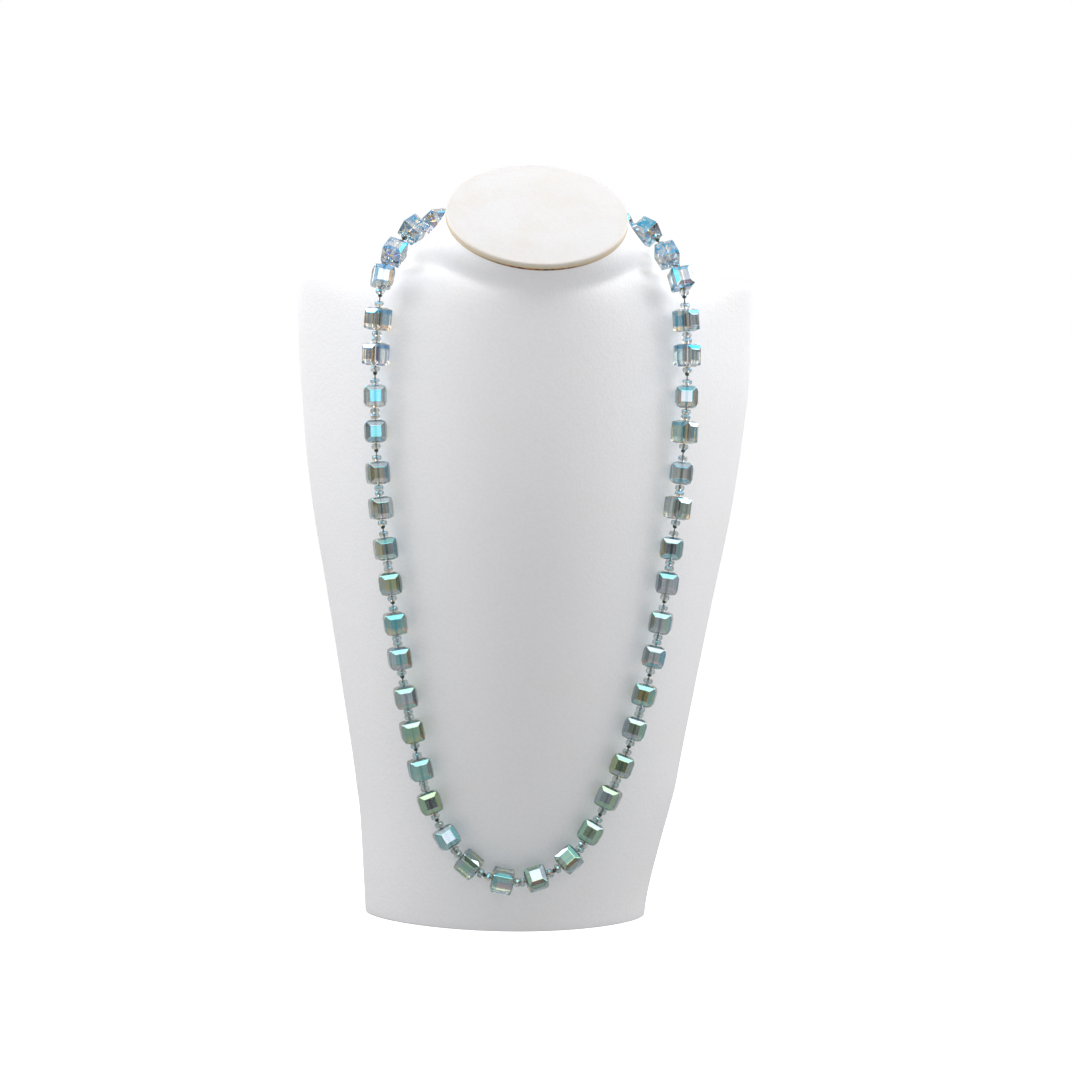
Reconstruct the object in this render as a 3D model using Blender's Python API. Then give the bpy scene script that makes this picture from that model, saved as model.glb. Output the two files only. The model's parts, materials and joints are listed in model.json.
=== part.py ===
"""Long necklace of square glass beads on a plain neck bust.

The necklace is one endless knotted string that carries square glass beads with
a pair of small round beads between each two. It lies on the chest of a bust
covered in white leatherette and passes behind the neck. +Z is up, the chest
looks along -Y, and the origin is under the middle of the whole, on the surface
that the bust stands on. All sizes are in metres.
"""

import bisect
import itertools
import math
import random
from enum import Enum
from typing import NamedTuple

import bmesh
import bpy
from mathutils import Matrix, Vector
from mathutils.bvhtree import BVHTree

# Bust: chest and shoulders
SHOULDER_HEIGHT = 0.290
SHOULDER_WIDTH = 0.205
SHOULDER_THICKNESS = 0.026
SHOULDER_CORNER_RADIUS = 0.004
CHEST_DEPTH = 0.088
CHEST_BOW = 0.0037

# Bust: neck and the slanted cap on it
NECK_WIDTH = 0.080
NECK_LENGTH_ALONG_SLANT = 0.076
NECK_SLANT = math.radians(36.6)
NECK_RISE = 0.0245
NECK_FLARE = 0.042
NECK_FORWARD = 0.054
NECK_SHIFT = 0.004
CAP_THICKNESS = 0.003
CAP_EDGE_RADIUS = 0.0009

# Square beads, cut with a table and four bevels on each face
CUBE_SIZE = 0.010
CUBE_FACE = 0.008
CUBE_TABLE = 0.004

# Small beads, knots and thread
SMALL_BEAD_DIAMETER = 0.0040
SMALL_BEAD_LENGTH = 0.0024
SMALL_BEAD_END_DIAMETER = 0.0022
THREAD_DIAMETER = 0.0007
KNOT_DIAMETER = 0.0017
KNOT_LENGTH = 0.0012
KNOT_FULL_FROM = 0.25
KNOT_FULL_TO = 0.70

# Share of the usual bare thread that shows at the lowest knot
BARE_THREAD_AT_LOWEST = 0.10

# Clearances between pieces that touch
PIECE_GAP = 0.0003
BORE_CLEARANCE = 0.0004
LAY_GAP = 0.0005

# Facets
FRONT_STEPS = 18
BACK_STEPS = 12
CAP_SIDES = 36
STRING_SIDES = 10
BORE_SIDES = 8
BUST_SMOOTH_ANGLE = 40.0
STRING_SMOOTH_ANGLE = 30.0


class ChestSection(NamedTuple):
    """One level of the chest.

    Height, width and depth are shares of the shoulder height, the shoulder width
    and the chest depth. A higher dome falls away faster to the sides. The dip is
    the slope by which the level drops toward the front.
    """

    height: float
    width: float
    depth: float
    dome: float
    dip: float


CHEST_SECTIONS = (
    ChestSection(height=0.00, width=0.623, depth=0.68, dome=0.75, dip=0.00),
    ChestSection(height=0.10, width=0.659, depth=0.73, dome=0.80, dip=0.00),
    ChestSection(height=0.20, width=0.710, depth=0.80, dome=0.85, dip=0.00),
    ChestSection(height=0.35, width=0.780, depth=0.90, dome=0.90, dip=0.00),
    ChestSection(height=0.50, width=0.855, depth=0.965, dome=0.95, dip=0.00),
    ChestSection(height=0.65, width=0.932, depth=1.00, dome=1.05, dip=0.00),
    ChestSection(height=0.80, width=0.981, depth=0.97, dome=1.10, dip=0.03),
    ChestSection(height=0.90, width=0.997, depth=0.93, dome=1.17, dip=0.17),
    ChestSection(height=0.97, width=1.000, depth=0.90, dome=1.23, dip=0.40),
    ChestSection(height=1.00, width=1.000, depth=0.89, dome=1.25, dip=0.50),
)

# How the shoulder slab blends into the neck: the higher the power, the later or squarer
SHOULDER_BACK_POWER = 6.0
NECK_BACK_POWER = 2.0
NECK_DOME = 0.5
CORNER_POWER = 0.5
TURN_POWER = 2
ROUNDING_POWER = 8
FLARE_START_POWER = 0.5
FLARE_END_POWER = 1.2
CHEST_LEVELS = 13
CORNER_LEVELS = 3
NECK_LEVELS = (0.0, 0.04, 0.11, 0.21, 0.36, 0.56, 0.78, 1.0)
SWAY_START = 0.75
BOW_END = 0.22


class Side(Enum):
    """Where a point of the string's route lies. The value is the way toward the bust."""

    FRONT = 1.0
    REAR = -1.0
    BESIDE_NECK = 0.0


class RoutePoint(NamedTuple):
    """One point of the route as seen from the front, laid on the bust from its side.

    The values are shares of half the shoulder width, the shoulder height and the
    chest depth, so the string follows the bust that it lies on.
    """

    across: float
    height: float
    side: Side = Side.FRONT
    depth: float = 0.0


# Route of the string, from the lowest point up the right strand, behind the neck
# and down the left strand. Beside the neck it hangs free, at a depth of its own.
ROUTE = (
    RoutePoint(0.020, 0.0800),
    RoutePoint(0.102, 0.0869),
    RoutePoint(0.239, 0.1155),
    RoutePoint(0.322, 0.1569),
    RoutePoint(0.449, 0.2586),
    RoutePoint(0.541, 0.3690),
    RoutePoint(0.605, 0.4828),
    RoutePoint(0.644, 0.6000),
    RoutePoint(0.678, 0.7138),
    RoutePoint(0.693, 0.8276),
    RoutePoint(0.688, 0.9379),
    RoutePoint(0.659, 0.9897),
    RoutePoint(0.600, 1.0362, Side.BESIDE_NECK, 0.545),
    RoutePoint(0.488, 1.0655, Side.BESIDE_NECK, 0.398),
    RoutePoint(0.361, 1.0793, Side.BESIDE_NECK, 0.239),
    RoutePoint(0.195, 1.0879, Side.REAR),
    RoutePoint(0.039, 1.0897, Side.REAR),
    RoutePoint(-0.117, 1.0879, Side.REAR),
    RoutePoint(-0.263, 1.0828, Side.BESIDE_NECK, 0.227),
    RoutePoint(-0.371, 1.0759, Side.BESIDE_NECK, 0.318),
    RoutePoint(-0.463, 1.0603, Side.BESIDE_NECK, 0.420),
    RoutePoint(-0.556, 1.0345, Side.BESIDE_NECK, 0.545),
    RoutePoint(-0.615, 0.9897),
    RoutePoint(-0.639, 0.8828),
    RoutePoint(-0.634, 0.7621),
    RoutePoint(-0.605, 0.6448),
    RoutePoint(-0.556, 0.5276),
    RoutePoint(-0.507, 0.4069),
    RoutePoint(-0.444, 0.2966),
    RoutePoint(-0.366, 0.1931),
    RoutePoint(-0.220, 0.1103),
    RoutePoint(-0.063, 0.0821),
)
ROUTE_SAMPLE = 0.002
TRACING_STEPS = 60
PULLS = 24

# Square beads are numbered from the top of the left strand, down and up the right one
NUMBER_OF_FIRST_ON_ROUTE = 22
FRONT_WAY = (0.0, -1.0, 0.5)

# Turns of the square beads about the string, in degrees
EDGE_TO_THE_FRONT = (5, 6, 20, 21, 33, 35, 37, 38)
EDGE_TURN = 45.0
LOOSE_TURN = 9.0
TURN_SEED = 7


def clear_scene() -> None:
    """Remove whatever the file holds."""
    for item in list(bpy.data.objects):
        bpy.data.objects.remove(item, do_unlink=True)


def mix(start: float, end: float, share: float) -> float:
    """Return the value that lies at this share of the way."""
    return start + (end - start) * share


def smooth(share: float) -> float:
    """Ease a share between 0 and 1 in and out."""
    share = min(max(share, 0.0), 1.0)
    return share * share * (3.0 - 2.0 * share)


def spline(before: float, start: float, end: float, after: float, share: float) -> float:
    """Return a smooth curve's value between two of four rows."""
    pull_in = 0.5 * (end - before)
    pull_out = 0.5 * (after - start)
    cube = share ** 3
    square = share ** 2
    return (
        (2 * cube - 3 * square + 1) * start
        + (cube - 2 * square + share) * pull_in
        + (3 * square - 2 * cube) * end
        + (cube - square) * pull_out
    )


def chest_section(height: float) -> ChestSection:
    """Read the table of the chest at any share of the shoulder height."""
    rows = CHEST_SECTIONS
    last = len(rows) - 1
    index = 0
    while index < last - 1 and height > rows[index + 1].height:
        index += 1
    low, high = rows[index], rows[index + 1]
    under = rows[max(index - 1, 0)]
    over = rows[min(index + 2, last)]
    share = (height - low.height) / (high.height - low.height)
    columns = [spline(a, b, c, d, share) for a, b, c, d in zip(under, low, high, over)]
    return ChestSection(*columns)._replace(height=height)


class Ring(NamedTuple):
    """Sizes of one level ring of the bust. Forward is measured from the back plane."""

    level: float
    half_width: float
    crest: float
    side: float
    back: float
    dome: float
    corner: float
    back_power: float
    dip: float
    rear_lift: float
    sway: float


def ring_points(ring: Ring) -> list[Vector]:
    """Work out one ring: the domed front from left to right, then the back."""
    points = []
    bulge = ring.crest - ring.side - ring.corner
    for step in range(FRONT_STEPS + 1):
        angle = math.radians(-90.0 + 180.0 * step / FRONT_STEPS)
        reach = max(math.cos(angle), 0.0)
        rounding = ring.corner * reach ** CORNER_POWER
        forward = ring.side + rounding + bulge * reach ** (2.0 * ring.dome)
        points.append(Vector((ring.half_width * math.sin(angle), -forward, 0.0)))
    for step in range(1, BACK_STEPS):
        angle = math.pi * step / BACK_STEPS
        across = math.copysign(abs(math.cos(angle)) ** (2.0 / ring.back_power), math.cos(angle))
        rearward = math.sin(angle) ** (2.0 / ring.back_power)
        depth = mix(ring.side, ring.back, rearward)
        points.append(Vector((ring.half_width * across, -depth, 0.0)))
    for point in points:
        offset = point.y + NECK_FORWARD
        slope = ring.dip if offset < 0.0 else ring.rear_lift
        point.z = ring.level + slope * offset
        point.x += ring.sway
    return points


def chest_rings() -> list[Ring]:
    """List the rings from the base to the top of the shoulders."""
    half_thickness = SHOULDER_THICKNESS / 2.0
    rise = SHOULDER_HEIGHT - SHOULDER_CORNER_RADIUS
    levels = [(rise * step / (CHEST_LEVELS - 1), 0.0) for step in range(CHEST_LEVELS)]
    for step in range(1, CORNER_LEVELS + 1):
        turn = math.radians(90.0 * step / CORNER_LEVELS)
        level = rise + SHOULDER_CORNER_RADIUS * math.sin(turn)
        levels.append((level, SHOULDER_CORNER_RADIUS * (1.0 - math.cos(turn))))
    rings = []
    for level, taken_off in levels:
        section = chest_section(level / SHOULDER_HEIGHT)
        rings.append(
            Ring(
                level=level,
                half_width=section.width * SHOULDER_WIDTH / 2.0 - taken_off,
                crest=section.depth * CHEST_DEPTH,
                side=half_thickness,
                back=0.0,
                dome=section.dome,
                corner=half_thickness,
                back_power=SHOULDER_BACK_POWER,
                dip=max(section.dip, 0.0),
                rear_lift=0.0,
                sway=sway(level),
            )
        )
    return rings


def sway(level: float) -> float:
    """Return how far a level is shifted sideways, by the chest's bow and the neck's lean."""
    full = SHOULDER_HEIGHT + NECK_RISE
    start = SWAY_START * SHOULDER_HEIGHT
    lean = smooth((level - start) / (full - start))
    share = level / SHOULDER_HEIGHT
    bow = smooth(share / BOW_END) * smooth((1.0 - share) / BOW_END)
    return NECK_SHIFT * lean + CHEST_BOW * bow


def neck_rings() -> list[Ring]:
    """List the rings from the shoulders to the slanted top of the neck."""
    half_thickness = SHOULDER_THICKNESS / 2.0
    half_depth = NECK_LENGTH_ALONG_SLANT * math.cos(NECK_SLANT) / 2.0
    shoulder = chest_section(1.0)
    rings = []
    for share in NECK_LEVELS:
        late = share ** TURN_POWER
        turned = 1.0 - (1.0 - share) ** TURN_POWER
        rounded = 1.0 - (1.0 - share) ** ROUNDING_POWER
        flare = (1.0 - share ** FLARE_START_POWER) ** FLARE_END_POWER
        level = SHOULDER_HEIGHT + NECK_RISE * share
        top_crest = NECK_FORWARD + half_depth
        rings.append(
            Ring(
                level=level,
                half_width=NECK_WIDTH / 2.0 + NECK_FLARE * flare,
                crest=mix(shoulder.depth * CHEST_DEPTH, top_crest, late),
                side=mix(half_thickness, NECK_FORWARD, turned),
                back=mix(0.0, NECK_FORWARD - half_depth, turned),
                dome=mix(shoulder.dome, NECK_DOME, turned),
                corner=mix(half_thickness, 0.0, turned),
                back_power=mix(SHOULDER_BACK_POWER, NECK_BACK_POWER, rounded),
                dip=mix(shoulder.dip, math.tan(NECK_SLANT), turned),
                rear_lift=mix(0.0, math.tan(NECK_SLANT), late),
                sway=sway(level),
            )
        )
    return rings


def loft(name: str, rings: list[list[Vector]], endless: bool = False) -> bpy.types.Mesh:
    """Skin rings of equal count, closed by flat ends or joined to an endless tube."""
    skin = bmesh.new()
    loops = [[skin.verts.new(point) for point in ring] for ring in rings]
    pairs = list(zip(loops, loops[1:]))
    if endless:
        pairs.append((loops[-1], loops[0]))
    else:
        skin.faces.new(reversed(loops[0]))
        skin.faces.new(loops[-1])
    for lower, upper in pairs:
        count = len(lower)
        for index in range(count):
            after = (index + 1) % count
            skin.faces.new((lower[index], lower[after], upper[after], upper[index]))
    bmesh.ops.recalc_face_normals(skin, faces=skin.faces)
    mesh = bpy.data.meshes.new(name)
    skin.to_mesh(mesh)
    skin.free()
    return mesh


def add_object(name: str, mesh: bpy.types.Mesh, material: bpy.types.Material) -> bpy.types.Object:
    """Put a mesh in the scene as a named sub-part with its own material."""
    if not mesh.materials:
        mesh.materials.append(material)
    item = bpy.data.objects.new(name, mesh)
    bpy.context.scene.collection.objects.link(item)
    return item


def make_material(
    name: str, color: tuple[float, float, float], roughness: float, transmission: float = 0.0
) -> bpy.types.Material:
    """Make a Principled material."""
    material = bpy.data.materials.new(name)
    material.use_nodes = True
    shader = material.node_tree.nodes["Principled BSDF"]
    shader.inputs["Base Color"].default_value = (*color, 1.0)
    shader.inputs["Roughness"].default_value = roughness
    shader.inputs["Transmission Weight"].default_value = transmission
    return material


def soften(mesh: bpy.types.Mesh, angle: float) -> None:
    """Shade a mesh smooth, except at edges sharper than the angle in degrees."""
    mesh.shade_smooth()
    mesh.set_sharp_from_angle(angle=math.radians(angle))


def build_bust() -> bpy.types.Object:
    """Build the chest, shoulders and neck as one form."""
    rings = [ring_points(ring) for ring in chest_rings() + neck_rings()]
    mesh = loft("bust_body", rings)
    soften(mesh, BUST_SMOOTH_ANGLE)
    material = make_material("white_leatherette", (0.80, 0.79, 0.78), 0.55)
    return add_object("bust_body", mesh, material)


def build_cap() -> bpy.types.Object:
    """Build the slanted oval panel that closes the neck."""
    half_width = NECK_WIDTH / 2.0
    half_length = NECK_LENGTH_ALONG_SLANT / 2.0
    edge = CAP_EDGE_RADIUS
    eased = edge * (1.0 - math.sqrt(0.5))
    profile = (
        (0.0, edge),
        (edge, 0.0),
        (CAP_THICKNESS - edge, 0.0),
        (CAP_THICKNESS - eased, eased),
        (CAP_THICKNESS, edge),
    )
    seat = Matrix.Translation((NECK_SHIFT, -NECK_FORWARD, SHOULDER_HEIGHT + NECK_RISE))
    tilt = Matrix.Rotation(NECK_SLANT, 4, "X")
    rings = []
    for rise, taken_off in profile:
        ring = []
        for step in range(CAP_SIDES):
            angle = math.tau * step / CAP_SIDES
            across = (half_width - taken_off) * math.cos(angle)
            along = (half_length - taken_off) * math.sin(angle)
            ring.append(seat @ tilt @ Vector((across, along, PIECE_GAP + rise)))
        rings.append(ring)
    mesh = loft("neck_cap", rings)
    soften(mesh, BUST_SMOOTH_ANGLE)
    material = make_material("cream_leatherette", (0.82, 0.79, 0.73), 0.5)
    return add_object("neck_cap", mesh, material)


class Bead(NamedTuple):
    """Place of one square bead: its middle, the way of its hole, and its front."""

    middle: Vector
    along: Vector
    facing: Vector


def distance_outside(surface: BVHTree, point: Vector) -> float:
    """Return the distance from the bust, below zero inside it."""
    place, normal, _, distance = surface.find_nearest(point)
    return distance if (point - place).dot(normal) > 0.0 else -distance


def lay_point(surface: BVHTree, point: RoutePoint, gap: float) -> Vector:
    """Bring a point up to the bust from its side, until it is a gap away from it."""
    place = Vector(
        (
            point.across * SHOULDER_WIDTH / 2.0,
            -point.depth * CHEST_DEPTH,
            point.height * SHOULDER_HEIGHT,
        )
    )
    if point.side is Side.BESIDE_NECK:
        return place
    toward = Vector((0.0, point.side.value, 0.0))
    place -= toward * SHOULDER_WIDTH
    for _ in range(TRACING_STEPS):
        place += toward * (distance_outside(surface, place) - gap)
    return place


def bust_surface(bust: bpy.types.Object) -> BVHTree:
    """Return the bust's faces in a form that answers how near a point is."""
    return BVHTree.FromPolygons(
        [vertex.co for vertex in bust.data.vertices],
        [polygon.vertices for polygon in bust.data.polygons],
    )


def lay_distance() -> float:
    """Return how far the string's middle line keeps from the bust."""
    return math.hypot(CUBE_FACE / 2.0, CUBE_FACE / 2.0) + LAY_GAP


def lay_string(surface: BVHTree) -> list[Vector]:
    """Return closely spaced points of the closed route, clear of the bust by half a bead."""
    gap = lay_distance()
    laid = [lay_point(surface, point, gap) for point in ROUTE]
    points = []
    for index in range(len(laid)):
        four = [laid[(index + offset) % len(laid)] for offset in (-1, 0, 1, 2)]
        steps = max(round((four[2] - four[1]).length / ROUTE_SAMPLE), 1)
        for step in range(steps):
            points.append(Vector([spline(*column, step / steps) for column in zip(*four)]))
    for _ in range(PULLS):
        points = pull_taut(surface, points, gap)
    return points


def pull_taut(surface: BVHTree, points: list[Vector], gap: float) -> list[Vector]:
    """Even a closed line out a little, and keep it a gap away from the bust."""
    taut = []
    for before, point, after in zip(points[-1:] + points[:-1], points, points[1:] + points[:1]):
        evened = (before + 2.0 * point + after) / 4.0
        taut.append(evened + lift(surface, evened, gap))
    return taut


def lift(surface: BVHTree, point: Vector, gap: float) -> Vector:
    """Return the move that takes a point a gap away from the bust, if it is nearer."""
    distance = distance_outside(surface, point)
    if distance >= gap:
        return Vector()
    place = surface.find_nearest(point)[0]
    return (point - place) * (gap - distance) / distance


class Route:
    """A closed line of points that can be read at any length along it."""

    def __init__(self, points: list[Vector]) -> None:
        self.points = points
        self.marks = [0.0]
        for start, end in zip(points, points[1:] + points[:1]):
            self.marks.append(self.marks[-1] + (end - start).length)
        self.length = self.marks[-1]

    def at(self, length: float) -> Vector:
        """Return the point at this length from the start."""
        length %= self.length
        index = min(bisect.bisect_right(self.marks, length), len(self.points)) - 1
        step = self.marks[index + 1] - self.marks[index]
        share = (length - self.marks[index]) / step
        return self.points[index].lerp(self.points[(index + 1) % len(self.points)], share)


def plain_gap() -> float:
    """Return the length between square beads where two small beads touch."""
    return 2.0 * SMALL_BEAD_LENGTH + 2.0 * PIECE_GAP


def pair_length() -> float:
    """Return the length of two square beads with their two gaps, one of them knotted."""
    return 2.0 * (CUBE_SIZE + plain_gap()) + KNOT_LENGTH


def place_beads(route: Route, surface: BVHTree) -> list[Bead]:
    """Share the route out between square beads and the two kinds of gap in turn.

    What is left of the route is bare thread. The weight below draws the knotted gaps
    open, so more thread shows the higher they hang.
    """
    pairs = int(route.length / pair_length())
    spare = route.length / pairs - pair_length()
    beads = []
    mark = (plain_gap() + CUBE_SIZE) / 2.0
    for index in range(2 * pairs):
        start = route.at(mark - CUBE_SIZE / 2.0)
        end = route.at(mark + CUBE_SIZE / 2.0)
        along = (end - start).normalized()
        outward = Vector(FRONT_WAY)
        facing = (outward - along * outward.dot(along)).normalized()
        middle = (start + end) / 2.0
        beads.append(Bead(middle + lift(surface, middle, lay_distance()), along, facing))
        mark += CUBE_SIZE + plain_gap()
        if index % 2 == 0:
            raised = 1.0 - abs(1.0 - (index + 1) / pairs)
            bare = mix(BARE_THREAD_AT_LOWEST, 2.0 - BARE_THREAD_AT_LOWEST, raised)
            mark += KNOT_LENGTH + spare * bare
    return beads


def cut_bead() -> bpy.types.Mesh:
    """Build a square bead: on each face a table and four bevels, and a drilled hole."""
    half_face = CUBE_FACE / 2.0
    half_table = CUBE_TABLE / 2.0
    half_size = CUBE_SIZE / 2.0
    half_bore = THREAD_DIAMETER / 2.0 + BORE_CLEARANCE
    bead = bmesh.new()
    corners = {}
    for signs in itertools.product((-1, 1), repeat=3):
        corners[signs] = bead.verts.new([half_face * sign for sign in signs])
    bores = []
    for axis, side in itertools.product(range(3), (-1, 1)):
        table, outer = [], []
        for first, second in ((-1, -1), (1, -1), (1, 1), (-1, 1)):
            place = [half_table * first, half_table * second]
            place.insert(axis, half_size * side)
            table.append(bead.verts.new(place))
            signs = [first, second]
            signs.insert(axis, side)
            outer.append(corners[tuple(signs)])
        for index in range(4):
            after = (index + 1) % 4
            bead.faces.new((outer[index], outer[after], table[after], table[index]))
        if axis < 2:
            bead.faces.new(table)
            continue
        bore = []
        for step in range(BORE_SIDES):
            angle = math.tau * (step - BORE_SIDES // 8) / BORE_SIDES - math.tau / 4.0
            place = (half_bore * math.cos(angle), half_bore * math.sin(angle), half_size * side)
            bore.append(bead.verts.new(place))
        bores.append(bore)
        share = BORE_SIDES // 4
        for index in range(4):
            arc = [bore[(index * share + step) % BORE_SIDES] for step in range(share + 1)]
            for start, end in zip(arc, arc[1:]):
                bead.faces.new((table[index], start, end))
            bead.faces.new((table[index], arc[-1], table[(index + 1) % 4]))
    for index in range(BORE_SIDES):
        after = (index + 1) % BORE_SIDES
        bead.faces.new((bores[0][index], bores[0][after], bores[1][after], bores[1][index]))
    bmesh.ops.recalc_face_normals(bead, faces=bead.faces)
    mesh = bpy.data.meshes.new("cut_bead")
    bead.to_mesh(mesh)
    bead.free()
    return mesh


def build_cubes(beads: list[Bead]) -> list[bpy.types.Object]:
    """Set a square bead at each place, with its front or an edge turned forward."""
    mesh = cut_bead()
    material = make_material("coated_glass", (0.30, 0.45, 0.45), 0.05, 0.6)
    chance = random.Random(TURN_SEED)
    cubes = []
    for index, bead in enumerate(beads):
        number = (NUMBER_OF_FIRST_ON_ROUTE - 1 + index) % len(beads) + 1
        turn = chance.uniform(-LOOSE_TURN, LOOSE_TURN)
        if number in EDGE_TO_THE_FRONT:
            turn += EDGE_TURN
        sideways = bead.along.cross(bead.facing)
        frame = Matrix((bead.facing, sideways, bead.along)).transposed()
        cube = add_object(f"cube_{number:02d}", mesh, material)
        cube.rotation_euler = (frame @ Matrix.Rotation(math.radians(turn), 3, "Z")).to_euler()
        cube.location = bead.middle
        cubes.append(cube)
    return cubes


def string_profile(gap: float, knotted: bool, knot_first: bool) -> list[tuple[float, float]]:
    """List where along a gap the string changes its radius, and to what."""
    thread = THREAD_DIAMETER / 2.0
    end = SMALL_BEAD_END_DIAMETER / 2.0
    middle = SMALL_BEAD_DIAMETER / 2.0
    knot = KNOT_DIAMETER / 2.0
    length = SMALL_BEAD_LENGTH
    if not knotted:
        start = (gap - 2.0 * length) / 2.0
        radii = (end, middle, end, middle, end)
        steps = [(start + index * length / 2.0, radius) for index, radius in enumerate(radii)]
        return [(start, thread), *steps, (start + 2.0 * length, thread)]
    start = PIECE_GAP
    tied = start + length
    first = [
        (start, thread),
        (start, end),
        (start + length / 2.0, middle),
        (tied, end),
        (tied + KNOT_FULL_FROM * KNOT_LENGTH, knot),
        (tied + KNOT_FULL_TO * KNOT_LENGTH, knot),
        (tied + KNOT_LENGTH, thread),
    ]
    far = gap - PIECE_GAP - length
    second = [
        (far, thread),
        (far, end),
        (far + length / 2.0, middle),
        (far + length, end),
        (far + length, thread),
    ]
    profile = first + second
    if not knot_first:
        profile = [(gap - place, radius) for place, radius in reversed(profile)]
    return profile


def build_string(beads: list[Bead]) -> bpy.types.Object:
    """Build thread, knots and small beads as one endless body through the square beads."""
    rings = []
    for index, bead in enumerate(beads):
        following = beads[(index + 1) % len(beads)]
        start = bead.middle + bead.along * CUBE_SIZE / 2.0
        end = following.middle - following.along * CUBE_SIZE / 2.0
        gap = (end - start).length
        knotted = index % 2 == 0
        for place, radius in string_profile(gap, knotted, start.z > end.z):
            share = place / gap
            along = bead.along.lerp(following.along, share).normalized()
            facing = bead.facing.lerp(following.facing, share)
            facing = (facing - along * facing.dot(along)).normalized()
            sideways = along.cross(facing)
            middle = start.lerp(end, share)
            ring = []
            for step in range(STRING_SIDES):
                angle = math.tau * step / STRING_SIDES
                ring.append(middle + radius * (facing * math.cos(angle) + sideways * math.sin(angle)))
            rings.append(ring)
    mesh = loft("string", rings, endless=True)
    soften(mesh, STRING_SMOOTH_ANGLE)
    material = make_material("glass_and_thread", (0.35, 0.48, 0.50), 0.15, 0.3)
    return add_object("string", mesh, material)


def stand_on_origin(pieces: list[bpy.types.Object]) -> None:
    """Carry the pieces to where the middle of their common box stands over the origin."""
    bpy.context.view_layer.update()
    corners = [piece.matrix_world @ vertex.co for piece in pieces for vertex in piece.data.vertices]
    low = [min(corner[axis] for corner in corners) for axis in range(3)]
    high = [max(corner[axis] for corner in corners) for axis in range(3)]
    carrier = bpy.data.objects.new("necklace_on_bust", None)
    bpy.context.scene.collection.objects.link(carrier)
    for piece in pieces:
        piece.parent = carrier
    carrier.location = (-(low[0] + high[0]) / 2.0, -(low[1] + high[1]) / 2.0, -low[2])
    bpy.context.view_layer.update()


def main() -> None:
    """Build the necklace on its bust."""
    clear_scene()
    bust = build_bust()
    cap = build_cap()
    surface = bust_surface(bust)
    beads = place_beads(Route(lay_string(surface)), surface)
    string = build_string(beads)
    cubes = build_cubes(beads)
    stand_on_origin([bust, cap, string, *cubes])


main()
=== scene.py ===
"""Looks of a long string of square glass beads that lies on a plain neck bust.

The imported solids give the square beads' places and the bust's foot. This script makes
the finer pieces that are seen: the bust under its leatherette, the square beads with
their cut faces, the small beads between them, and the knotted thread that carries all.
"""

import bisect
import json
import logging
import math
from dataclasses import astuple, dataclass, field
from enum import Enum
from functools import cached_property

import bmesh
import bpy
from mathutils import Matrix, Vector

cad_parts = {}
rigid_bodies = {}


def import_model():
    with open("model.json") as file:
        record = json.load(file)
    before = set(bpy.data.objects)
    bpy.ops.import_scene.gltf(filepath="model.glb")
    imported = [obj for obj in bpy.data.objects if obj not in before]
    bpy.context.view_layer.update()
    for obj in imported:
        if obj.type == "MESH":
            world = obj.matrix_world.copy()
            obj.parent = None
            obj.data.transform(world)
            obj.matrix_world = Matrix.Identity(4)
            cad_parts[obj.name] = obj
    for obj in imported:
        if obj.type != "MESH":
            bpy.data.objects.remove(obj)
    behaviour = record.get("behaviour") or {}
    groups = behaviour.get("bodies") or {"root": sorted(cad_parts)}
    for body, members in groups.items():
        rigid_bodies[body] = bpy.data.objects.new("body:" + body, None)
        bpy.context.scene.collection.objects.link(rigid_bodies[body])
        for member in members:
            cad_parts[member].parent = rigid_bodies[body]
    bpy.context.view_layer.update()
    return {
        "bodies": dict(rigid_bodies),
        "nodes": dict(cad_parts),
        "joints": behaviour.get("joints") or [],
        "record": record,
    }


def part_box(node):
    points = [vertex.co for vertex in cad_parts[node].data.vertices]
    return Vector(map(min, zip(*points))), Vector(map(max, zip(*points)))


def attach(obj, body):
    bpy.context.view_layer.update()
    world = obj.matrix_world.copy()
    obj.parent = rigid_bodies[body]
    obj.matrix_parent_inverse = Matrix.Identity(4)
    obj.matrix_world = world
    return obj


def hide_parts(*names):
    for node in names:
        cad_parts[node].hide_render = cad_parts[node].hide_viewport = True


log = logging.getLogger("necklace")

MM = 0.001
FIRST_ON_ROUTE = 22
SQUARE_BEADS = 46
WELD = 0.01 * MM
SHARP_ANGLE = 50.0
WHITE = (1.0, 1.0, 1.0, 1.0)

Socket = bpy.types.NodeSocket
Feeds = dict[str | int, object]
Placement = tuple[Vector, Vector]


def linear(color: str) -> tuple[float, float, float, float]:
    """Turn an sRGB hex colour into linear red, green, blue and alpha.

    Args:
        color: the colour as "#rrggbb".

    Returns:
        The four linear values.
    """
    parts = [int(color[place:place + 2], 16) / 255.0 for place in (1, 3, 5)]
    red, green, blue = [
        part / 12.92 if part <= 0.04045 else ((part + 0.055) / 1.055) ** 2.4 for part in parts
    ]
    return red, green, blue, 1.0


def per_mm(size_mm: float) -> float:
    """Return the scale of a pattern whose cells have this size in millimetres."""
    return 1.0 / (size_mm * MM)


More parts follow.
